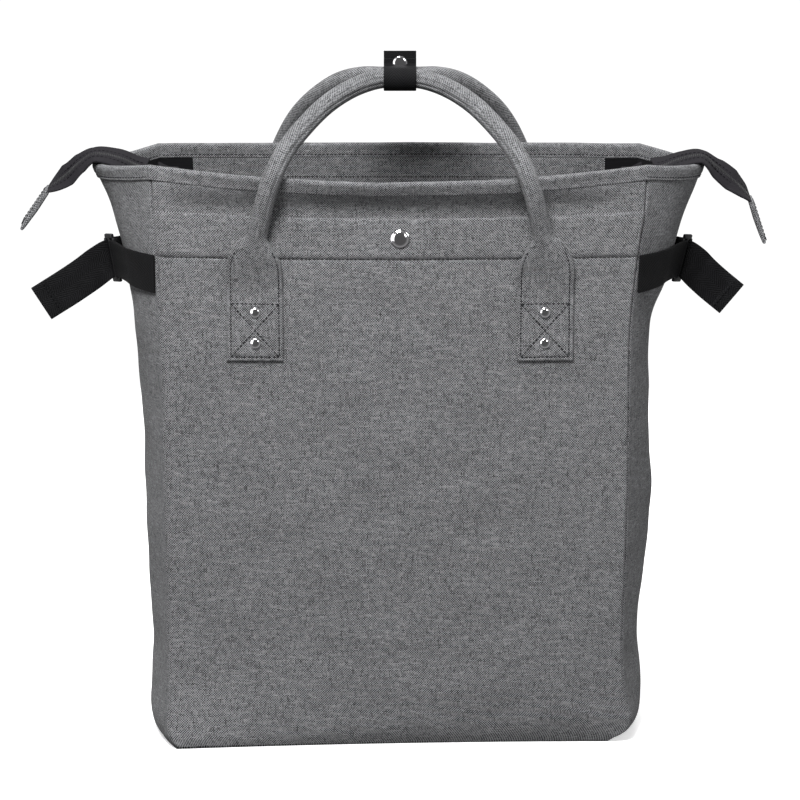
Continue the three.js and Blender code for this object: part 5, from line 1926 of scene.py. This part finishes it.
@dataclass
class SideWebbing:
    """The band, the slide and the hanging strap of one gusset."""

    body: Body
    finishes: Finishes
    side: Side
    tail_length: float
    tail_slope: float
    height: float = 0.377
    width: float = 0.03
    webbing: float = 0.0016
    standoff: float = 0.0008
    swing: float = 0.9
    slide: Slide = field(default_factory=lambda: Slide(0.0026, 0.003, 0.0313, 0.004))

    def half_depth(self) -> float:
        """Half of the gusset's depth at the band's height."""
        share = np.array(self.height / self.body.height)
        return float(abs(self.body.bare(self.side.panel, np.array(1.0), share)[1]))

    def on_gusset(self, y: float, z: float) -> Array:
        """A point of the gusset at y and z."""
        across = np.array(self.side.value * y / self.half_depth())
        return self.body.bare(self.side.panel, across, np.array(z / self.body.height))

    def outside(self, y: float, gap: float) -> Array:
        """A point beside the gusset, a gap away from it.

        Args:
            y: its place along the gusset.
            gap: the gap.

        Returns:
            The point.
        """
        along = self.on_gusset(y + 0.001, self.height) - self.on_gusset(y - 0.001, self.height)
        out = unit(np.array([along[1], -along[0], 0]))
        return self.on_gusset(y, self.height) + out * self.side.value * gap

    def upward(self, y: float) -> Array:
        """The gusset's upward direction at y."""
        half = self.width / 2
        return unit(self.on_gusset(y, self.height + half) - self.on_gusset(y, self.height - half))

    def wall_row(self, share: float) -> Row:
        """A row of webbing that lies on the gusset.

        Args:
            share: its place, as a share of the gusset's half depth.

        Returns:
            The row.
        """
        y, half = share * self.half_depth(), self.width / 2
        middle = (self.on_gusset(y, self.height + half) + self.on_gusset(y, self.height - half)) / 2
        out = self.outside(y, self.standoff + self.webbing / 2) - self.on_gusset(y, self.height)
        return Row(middle + out, self.upward(y), self.webbing)

    def build(self) -> None:
        """Makes and seats the webbing of the gusset."""
        sign, word, finishes = self.side.value, self.side.word, self.finishes
        up = self.upward(0.0)
        level = np.array([sign * math.cos(self.swing), math.sin(self.swing), 0])
        level = unit(level - up * (level @ up))
        face = np.cross(level, up)
        outward = face * np.sign(face[0] * sign)
        foot = self.outside(0.006, 0.0062)

        def row(along: float, out: float) -> Row:
            """A row of webbing at the slide."""
            return Row(foot + level * along + outward * out, up, self.webbing)

        buckle = self.slide.build(f"slide_{word}", foot, level, up, finishes.plastic)
        dress(buckle, "plastic", f"side_buckle_{word}")
        radius = math.hypot(self.slide.bar, self.slide.thickness) / 2 + LAYER_GAP + self.webbing / 2
        loop = [turn * math.pi for turn in (0.62, 0.4, 0.2, 0, -0.2, -0.4, -0.6)]
        rows = [self.wall_row(k) for k in (-0.975, -0.85, -0.7, -0.5, -0.25)]
        rows += [row(self.slide.bar / 2 + radius * math.cos(a), radius * math.sin(a)) for a in loop]
        band = ribbon(f"gusset_band_{word}", rows, self.width, finishes.webbing)
        dress(band, "webbing", f"side_band_{word}")
        slot = 2 * self.slide.bar + 1.5 * self.slide.slot
        under = self.slide.thickness / 2 + LAYER_GAP + self.webbing / 2
        rows = [self.wall_row(k) for k in (0.975, 0.85, 0.7, 0.5)]
        rows += [row(self.slide.length + 0.001, -under - 0.001), row(slot + 0.0006, -under + 0.0005)]
        rows += [row(slot, 0), row(slot - 0.0001, under)]
        root, slope = rows[-1].at, math.atan(self.tail_slope)
        heading = np.array([sign * math.cos(slope), 0, -math.sin(slope)])
        flat = np.array([sign * math.sin(slope), 0, math.cos(slope)])
        for place in SIDE_TAIL:
            at = root + heading * place.along * self.tail_length
            at = at + (outward - heading) * (1 - place.swing) * 0.008
            at = at - np.array([0, 0, place.swing * 0.0025])
            rows.append(Row(at, lerp(up, flat, place.turn), self.webbing * place.folds))
        strap = ribbon(f"side_tail_{word}", rows, self.width, finishes.webbing, 0.0012, 16, 0.0004)
        dress(strap, "webbing", f"side_strap_{word}")
        hem = rows[-2].at + (rows[-1].at - rows[-2].at) * 0.12
        front = unit(np.cross(heading, flat)) * -sign
        front = front if front[1] < 0 else -front
        rises = np.linspace(-0.0137, 0.0137, 30)
        line = np.array([hem + flat * rise + front * self.webbing * 1.1 for rise in rises])
        stitches = Sewing(finishes.black_thread).run(f"tail_stitches_{word}", line, np.tile(front, (30, 1)))
        dress(stitches, "webbing")


@dataclass(frozen=True)
class ZipRow:
    """A place of the closed zip outside the mouth, as shares of its reach, with its roll."""

    out: float
    back: float
    rise: float
    roll: float


ZIP_ROUTES = {
    Side.LEFT: (
        ZipRow(0, -0.05, -0.16, 0.5), ZipRow(0.148, -0.025, -0.111, 0.42),
        ZipRow(0.333, 0, -0.037, 0.34), ZipRow(0.556, 0, -0.006, 0.22),
        ZipRow(0.691, -0.012, -0.086, 0.5), ZipRow(0.815, -0.025, -0.198, 0.62),
        ZipRow(0.926, -0.025, -0.284, 0.3), ZipRow(1, -0.025, -0.333, 0.05),
    ),
    Side.RIGHT: (
        ZipRow(0, -0.05, -0.16, 0.5), ZipRow(0.16, -0.025, -0.111, 0.4),
        ZipRow(0.346, 0, -0.043, 0.25), ZipRow(0.519, 0, -0.025, 0.2),
        ZipRow(0.667, -0.012, -0.136, 0.5), ZipRow(0.802, -0.025, -0.247, 0.62),
        ZipRow(0.926, -0.025, -0.358, 0.35), ZipRow(0.988, -0.025, -0.432, 0.05),
    ),
}
END_TAB = ((0, 0.0036), (0.04, 0.0042), (0.5, 0.0042), (0.85, 0.0036), (0.97, 0.0028), (1, 0.0018))
TAB_STITCHES = ((-0.013, 0.003), (-0.013, 0.0325), (0.013, 0.0325), (0.013, 0.003), (-0.013, 0.003))
TAB_LEADS = {Side.LEFT: (0.259, 0.37), Side.RIGHT: (0.136, 0.407)}


@dataclass
class MouthZip:
    """The plackets, the open half tapes and the closed ends of the mouth's zip."""

    body: Body
    finishes: Finishes
    sewing: Sewing
    reach: float = 0.081
    start: float = 0.003
    placket_half: float = 0.166
    placket_height: float = 0.03
    tape: float = 0.0012
    tape_width: float = 0.015
    tape_inset: float = 0.0063
    tail_width: float = 0.03
    coil_pitch: float = 0.0015
    coil_thread: float = 0.36
    tail_cloth: float = 0.002
    tab_width: float = 0.032
    slider_reach: float = 0.0053
    slider_width: float = 0.0088
    slider_rise: float = 0.0017
    pull_length: float = 0.0215
    pull_width: float = 0.0045

    def point(self, side: Side, row: ZipRow) -> Array:
        """A point of the closed zip outside the mouth."""
        x = side.value * (self.body.seam_half_width + self.start + row.out * self.reach)
        return np.array([x, row.back * self.reach, self.body.height + row.rise * self.reach])

    def placket(self, panel: Panel) -> None:
        """Makes and seats the cloth strip below the hem, inside one wall.

        Args:
            panel: the wall.
        """
        top = HEM_FOOT - LAYER_GAP
        heights = steps(top - self.placket_height, top, 0.003, (top - self.placket_height + 0.002,))
        reach = self.placket_half / self.body.seam_half_width
        across, height = np.meshgrid(np.linspace(-reach, reach, 90), heights, indexing="ij")
        share = height / self.body.height
        face = self.body.at(panel, across, share, -PLACKET_OUTER)
        inner = self.body.at(panel, across, share, -PLACKET_OUTER - PLACKET_CLOTH)
        name = f"placket_cloth_{panel.value}"
        cloth = loft(name, np.concatenate([face, inner[:, ::-1]], axis=1), self.finishes.heather)
        dress(cloth, "heather", f"placket_{panel.value}")
        line_height = np.full(120, top - self.placket_height + 0.0035)
        places = np.linspace(-reach * 0.99, reach * 0.99, 120)
        depth = -PLACKET_OUTER - PLACKET_CLOTH
        line = self.body.at(panel, places, line_height / self.body.height, depth)
        away = -self.body.normal(panel, places, line_height / self.body.height)
        dress(self.sewing.run(f"placket_stitches_{panel.value}", line, away), "heather")

    def half_tape(self, panel: Panel) -> None:
        """Makes and seats one half of the open zip with its coil.

        Args:
            panel: the wall that it hangs on.
        """
        facing = -1 if panel is Panel.FRONT else 1
        shares = (0.2, 0.4, 0.6, 0.8, 0.94)

        def sewn(share: float) -> Row:
            """A row of tape that is sewn to the placket."""
            level = HEM_FOOT - LAYER_GAP - self.placket_height
            seat, outward, upward = self.body.seat(panel, share * self.placket_half, level)
            return Row(seat - outward * self.tape_inset, upward, self.tape)

        def free(side: Side) -> list[Row]:
            """The rows of tape from the placket's end to the slider."""
            end = self.point(side, ZIP_ROUTES[side][0])
            end = end + np.array([-side.value * 0.007, facing * (self.tape_width / 2 + 0.00075), 0])
            first = sewn(side.value * shares[-1]).at
            return [
                Row(lerp(first, end, k), np.array([0, facing * 1.4 * k**1.5, 1 - k * 0.3]), self.tape)
                for k in (0.3, 0.62, 0.9, 1)
            ]

        left, right = [sewn(-k) for k in shares[::-1]], [sewn(k) for k in shares]
        rows = [*free(Side.LEFT)[::-1], *left, sewn(0), *right, *free(Side.RIGHT)]
        name = f"half_tape_{panel.value}"
        tape = ribbon(name, rows, self.tape_width, self.finishes.zip, 0.002, 8)
        dress(tape, "zip", f"zip_tape_{panel.value}")
        points = np.array([row.at - unit(row.across) * self.tape_width * 0.44 for row in rows])
        away = np.array([row.at for row in rows])
        line = spline(points, np.linspace(0, 1, 500))
        middle = spline(away, np.linspace(0, 1, 500))
        outward = unit(np.cross(np.gradient(line, axis=0), middle - line)) * (-facing)
        dress(self.coil(f"half_coil_{panel.value}", line, outward, unit(middle - line), 0.0013), "zip")

    def coil(self, name: str, line: Array, outward: Array, across: Array, half: float) -> bpy.types.Object:
        """A zip's coil as a row of short turns across its line.

        Args:
            name: the piece's name.
            line: points along it.
            outward: the direction of its face.
            across: the direction of its turns.
            half: half the length of a turn.

        Returns:
            The object.
        """
        run = lengths(line)
        count = int(run[-1] / self.coil_pitch)
        starts = (np.arange(count) + 0.5) * self.coil_pitch
        thread = self.coil_pitch * self.coil_thread
        turn = Sewing(self.finishes.plastic, length=2 * half, pitch=2 * half, radius=thread)
        rows = [points_at(starts, run, part) for part in (line, outward, across)]
        pieces = []
        for k, (at, up, way) in enumerate(zip(*rows, strict=True)):
            reach = way * half * 0.999
            pieces.append(turn.run(f"{name}_{k}", np.array([at - reach, at + reach]), np.array([up, up])))
        return joined(name, pieces)

    def end(self, side: Side) -> None:
        """Makes and seats the closed zip, the slider and the tab at one end of the mouth.

        Args:
            side: the end.
        """
        word, sign = side.word, side.value
        route = ZIP_ROUTES[side]
        middles = [self.point(side, row) for row in route]
        across = [np.array([0, math.cos(row.roll), math.sin(row.roll)]) for row in route]
        heading = unit(middles[1] - middles[0])
        rows = [Row(at, way, self.tail_cloth) for at, way in zip(middles, across, strict=True)]
        rows[0] = Row(middles[0] + heading * 0.0059, across[0], self.tail_cloth)
        tail = ribbon(f"zip_closed_{word}", rows, self.tail_width, self.finishes.zip, 0.0012, 16, 0.0003)
        dress(tail, "zip", f"zip_tail_{word}")
        t = np.linspace(0.02, 0.99, 300)
        line = spline(np.array([row.at for row in rows]), t)
        knots = np.linspace(0, 1, len(rows))
        way = unit(points_at(t, knots, [row.across for row in rows]))
        tangent = unit(np.gradient(line, axis=0))
        up = unit(np.cross(tangent, way)) * sign
        dress(self.coil(f"zip_coil_{word}", line + up * 0.001, up, way, 0.0026), "zip")
        for number, off in enumerate((-0.0058, 0.0058)):
            row = line + way * off + up * 0.00095
            stitches = Sewing(self.finishes.black_thread).run(f"coil_stitches_{word}_{number}", row, up)
            dress(stitches, "zip")
        self.slider(side, middles[0], heading, across[0])
        self.tab(side, rows[-1], unit(line[-1] - line[-5]))

    def slider(self, side: Side, first: Array, heading: Array, across: Array) -> None:
        """Makes and seats one slider with its pull.

        Args:
            side: the end of the mouth.
            first: where the closed zip starts.
            heading: the zip's direction.
            across: the direction across it.
        """
        word, sign = side.word, side.value
        face = unit(np.cross(heading, across))
        rail = Slide(0.0045, 0.001, 0.0, 0.0, thickness=0.0034)
        parts = []
        metal = self.finishes.slider
        for k, rise in enumerate((-self.slider_rise, self.slider_rise)):
            at = first + face * rise - heading * 0.0003
            ends = (at - heading * self.slider_reach, at + heading * self.slider_reach)
            parts.append(rail.rail(f"slider_{word}_{k}", ends, unit(across), self.slider_width, face, metal))
        pull_at = first - heading * 0.0003 + np.array([0, 0, 0.0028])
        thin = Slide(0.0045, 0.001, 0.0, 0.0, thickness=0.0014)
        ends = (pull_at, pull_at - np.array([sign * self.pull_length, 0, 0]))
        level, upright = np.array([0, 1.0, 0]), np.array([0, 0, 1.0])
        parts.append(thin.rail(f"pull_{word}", ends, level, self.pull_width, upright, metal))
        dress(joined(f"slider_block_{word}", parts), "steel", f"zip_slider_{word}")

    def tab(self, side: Side, last: Row, heading: Array) -> None:
        """Makes and seats the cloth tab that is folded over the zip's sewn end.

        Args:
            side: the end of the mouth.
            last: the closed zip's last row.
            heading: the zip's direction there.
        """
        word, sign = side.word, side.value
        reach, drop = TAB_LEADS[side]
        start = last.at + heading * 0.0005
        lead = np.array([sign * reach, 0, -drop]) * self.reach
        across = unit(last.across)
        rows = [
            Row(start + lead * k, across, thick)
            for k, thick in END_TAB
        ]
        tab = ribbon(f"end_tab_cloth_{word}", rows, self.tab_width, self.finishes.heather, 0.0012, 16, 0.0002)
        dress(tab, "heather", f"zip_end_tab_{word}")
        face = unit(np.cross(unit(lead), across))
        face = face if face[1] < 0 else -face
        top = face if face[2] > 0 else -face
        corners = np.array(TAB_STITCHES)
        run = lengths(corners)
        t = np.linspace(0, run[-1], 90)
        a, b = np.interp(t, run, corners[:, 0]), np.interp(t, run, corners[:, 1])
        line = start + across * a[:, None] + unit(lead) * b[:, None] + top * 0.0021
        dress(self.sewing.run(f"tab_stitches_{word}", line, np.tile(top, (90, 1))), "heather")

    def build(self) -> None:
        """Makes and seats the whole zip."""
        for panel in (Panel.FRONT, Panel.BACK):
            self.placket(panel)
            self.half_tape(panel)
        for side in Side:
            self.end(side)


@dataclass(frozen=True)
class PadRow:
    """A place of a shoulder strap, as shares of its drop, stand-off, width and thickness."""

    side: float
    drop: float
    off: float
    width: float
    thick: float


PAD_ROUTE = (
    PadRow(0, 0, 0.08, 0.86, 0.3), PadRow(0.003, 0.055, 0.113, 0.9, 0.4),
    PadRow(0.01, 0.137, 0.433, 0.96, 0.85), PadRow(0.024, 0.274, 0.733, 1, 1),
    PadRow(0.048, 0.479, 0.967, 1, 1), PadRow(0.082, 0.685, 1, 0.97, 1),
    PadRow(0.13, 0.842, 0.867, 0.88, 0.9), PadRow(0.171, 0.945, 0.733, 0.72, 0.7),
    PadRow(0.195, 1, 0.667, 0.6, 0.4),
)


@dataclass
class ShoulderStrap:
    """One padded shoulder strap with its adjuster and its lower webbing."""

    body: Body
    finishes: Finishes
    sewing: Sewing
    side: Side
    top: float = 0.44
    top_x: float = 0.058
    drop: float = 0.292
    standoff: float = 0.03
    width: float = 0.056
    thickness: float = 0.009
    anchor_height: float = 0.034
    anchor_inset: float = 0.014
    webbing: float = 0.0016
    webbing_width: float = 0.025
    slide: Slide = field(default_factory=lambda: Slide(0.0032, 0.004, 0.0263, 0.0034))

    def point(self, row: PadRow) -> Array:
        """A point of the pad's middle line.

        Args:
            row: its row in the route.

        Returns:
            The point.
        """
        x = self.side.value * (self.top_x + row.side * self.drop)
        seat, outward, _ = self.body.seat(Panel.BACK, x, self.top - row.drop * self.drop)
        return seat + outward * row.off * self.standoff

    def pad(self) -> None:
        """Makes and seats the padded part with its bound edges and stitches."""
        knots = np.linspace(0, 1, len(PAD_ROUTE))
        t = np.linspace(0, 1, 190)
        centres = spline(np.array([self.point(row) for row in PAD_ROUTE]), t)
        width = np.interp(t, knots, [row.width for row in PAD_ROUTE]) * self.width
        thick = np.interp(t, knots, [row.thick for row in PAD_ROUTE]) * self.thickness
        tangent = unit(np.gradient(centres, axis=0))
        across = np.array([1.0, 0, 0]) - tangent * tangent[:, :1]
        across = unit(across)
        face = np.cross(tangent, across)
        edges = np.array([0.84, 0.87, 0.9, 0.93, 0.96, 0.985, 1.0])
        places = np.unique(np.round(np.concatenate([np.linspace(-0.8, 0.8, 24), -edges, edges]), 4))
        crown = (1 - np.minimum(np.abs(places) / 0.88, 1) ** 2.4) * 0.72 + 0.28
        binding = 0.3 * np.exp(-(((np.abs(places) - 0.95) / 0.04) ** 2))
        edge = np.sqrt(np.maximum(1 - np.maximum((np.abs(places) - 0.95) / 0.05, 0) ** 2, 0.03))
        rib = 1 - 0.10 * np.exp(-((places / 0.06) ** 2))
        share = np.minimum((crown + binding) * edge * rib, 1)
        run = lengths(centres)
        near_seam = np.exp(-(((np.abs(places) - 0.82) / 0.1) ** 2))[None]
        pucker = 1 + 0.05 * np.sin(run * 420)[:, None] * near_seam
        half = thick[:, None] * share[None] * pucker / 2
        middle = centres[:, None] + across[:, None] * (places[None] * width[:, None] / 2)[..., None]
        lift = face[:, None] * half[..., None]
        word = self.side.word
        sections = np.concatenate([middle + lift, (middle - lift)[:, ::-1]], axis=1)
        pad = loft(f"strap_pad_{word}", sections, self.finishes.heather, sharp=70)
        dress(pad, "heather", f"shoulder_pad_{word}")
        rows = []
        k = int(np.argmin(np.abs(places - 0.88)))
        for number, spot in enumerate((k, len(places) - 1 - k)):
            for way in (-1, 1):
                line = middle[3:-3, spot] + way * lift[3:-3, spot]
                rows.append(self.sewing.run(f"pad_{word}_{number}_{way + 1}", line, face[3:-3] * way))
        dress(joined(f"pad_stitches_{word}", rows), "heather")

    def build(self) -> None:
        """Makes and seats the strap."""
        self.pad()
        word, sign = self.side.word, self.side.value
        end = self.point(PAD_ROUTE[-1])
        share = self.anchor_height / self.body.height
        corner = self.body.bare(Panel.BACK, np.array(-float(sign)), np.array(share))
        anchor_x = corner[0] - sign * self.anchor_inset
        seat, outward, _ = self.body.seat(Panel.BACK, float(anchor_x), self.anchor_height)
        anchor = seat + outward * (0.0016 + self.webbing / 2)
        heading = unit(anchor - end)
        across = unit(np.array([1.0, 0, 0]) - heading * heading[0])
        top = end + heading * 0.0012
        slide = self.slide.build(f"adjuster_{word}", top, heading, across, self.finishes.plastic)
        dress(slide, "plastic", f"shoulder_adjuster_{word}")
        start = top + heading * (self.slide.length + LAYER_GAP)
        slack = np.array([0, 0.003, 0])
        above = anchor - heading * self.webbing_width + slack
        middle = (start + above) / 2 + slack
        rows = [Row(at, across, self.webbing) for at in (start, middle, above, anchor)]
        strap = ribbon(f"lower_webbing_{word}", rows, self.webbing_width, self.finishes.webbing, 0.002)
        dress(strap, "webbing", f"shoulder_webbing_{word}")


@dataclass(frozen=True)
class Lamp:
    """A square soft light that points at the bag.

    Args:
        name: its name.
        at: where it stands.
        size: the length of its side.
        power: its power in watts.
        gloss_only: it lights no cloth and is seen in the polished metal alone.
    """

    name: str
    at: tuple[float, float, float]
    size: float
    power: float
    gloss_only: bool = False


LAMPS = (
    Lamp("key_light", (-0.5, -1.85, 2.6), 1.0, 132),
    Lamp("fill_light", (1.5, -2.5, 1.3), 0.8, 17),
    Lamp("top_light", (0.2, 0.6, 2.8), 1.8, 38),
    Lamp("metal_card", (-2.0, -1.9, 0.75), 2.1, 34, gloss_only=True),
)


@dataclass
class Studio:
    """The camera, the floor and the soft light."""

    distance: float = 3.2
    elevation: float = math.radians(12)
    target: tuple[float, float, float] = (0.0, 0.0, 0.263)
    lens: float = 180.4
    dark_side: float = 0.1
    bright_side: float = 0.38
    turn: tuple[float, float] = (-0.9, -0.3)
    backdrop: float = 1.05
    floor_end: float = 1.3

    def light(self, lamp: Lamp) -> None:
        """Sets up one light.

        Args:
            lamp: the light.
        """
        data = bpy.data.lights.new(lamp.name, "AREA")
        data.shape, data.size, data.energy = "SQUARE", lamp.size, lamp.power
        light = bpy.data.objects.new(lamp.name, data)
        light.location = lamp.at
        light.visible_diffuse = not lamp.gloss_only
        light.rotation_euler = (Vector(self.target) - Vector(lamp.at)).to_track_quat("-Z", "Y").to_euler()
        bpy.context.scene.collection.objects.link(light)

    def build(self) -> None:
        """Makes the studio."""
        scene = bpy.context.scene
        target = Vector(self.target)
        away = Vector((0, -math.cos(self.elevation), math.sin(self.elevation))) * self.distance
        data = bpy.data.cameras.new("camera")
        data.lens, data.sensor_width = self.lens, 36.0
        camera = bpy.data.objects.new("camera", data)
        camera.location = target + away
        camera.rotation_euler = (-away).to_track_quat("-Z", "Y").to_euler()
        scene.collection.objects.link(camera)
        scene.camera = camera
        uv = np.array([(-4, -4), (4, -4), (4, self.floor_end), (-4, self.floor_end)], float)
        corners = np.column_stack([uv, np.full(4, -0.0002)])
        floor = make_mesh("studio_floor", corners, [[0, 1, 2, 3]], uv, PaleFloor("pale_floor").build())
        floor.visible_diffuse = False
        floor.visible_glossy = False
        world = bpy.data.worlds.new("studio_world")
        world.use_nodes = True
        tree = world.node_tree
        background = tree.nodes["Background"]
        background.inputs["Color"].default_value = (1, 1, 1, 1)
        source, split = tree.nodes.new("ShaderNodeTexCoord"), tree.nodes.new("ShaderNodeSeparateXYZ")
        span = tree.nodes.new("ShaderNodeMapRange")
        tree.links.new(source.outputs["Generated"], split.inputs[0])
        tree.links.new(split.outputs["Y"], span.inputs[0])
        values = (*self.turn, self.dark_side, self.bright_side)
        for socket, value in zip(span.inputs[1:5], values, strict=True):
            socket.default_value = value
        seen, mix = tree.nodes.new("ShaderNodeLightPath"), tree.nodes.new("ShaderNodeMix")
        tree.links.new(seen.outputs["Is Camera Ray"], mix.inputs[0])
        tree.links.new(span.outputs[0], mix.inputs[2])
        mix.inputs[3].default_value = self.backdrop
        tree.links.new(mix.outputs[0], background.inputs["Strength"])
        scene.world = world
        for lamp in LAMPS:
            self.light(lamp)
        scene.view_settings.view_transform = "Standard"
        scene.view_settings.look = "None"


def main() -> None:
    """Builds the backpack and its studio, piece by piece."""
    logging.basicConfig(level=logging.INFO, format="%(name)s: %(message)s")
    body, finishes = Body(), Finishes()
    sewing = Sewing(finishes.thread)
    Studio().build()
    Walls(body, finishes).build()
    LiningBag(body, finishes).build()
    RimHem(body, finishes, sewing).build()
    FrontPocket(body, finishes, sewing).build()
    Handle(body, finishes, sewing, Panel.FRONT, FRONT_LEG, POCKET_FACE).build()
    Handle(body, finishes, sewing, Panel.BACK, BACK_LEG, 0.0).build()
    HandleWrap(finishes).build()
    SideWebbing(body, finishes, Side.LEFT, tail_length=0.064, tail_slope=0.63).build()
    SideWebbing(body, finishes, Side.RIGHT, tail_length=0.047, tail_slope=0.82).build()
    MouthZip(body, finishes, sewing).build()
    for side in Side:
        ShoulderStrap(body, finishes, sewing, side).build()


if __name__ == "__main__":
    main()
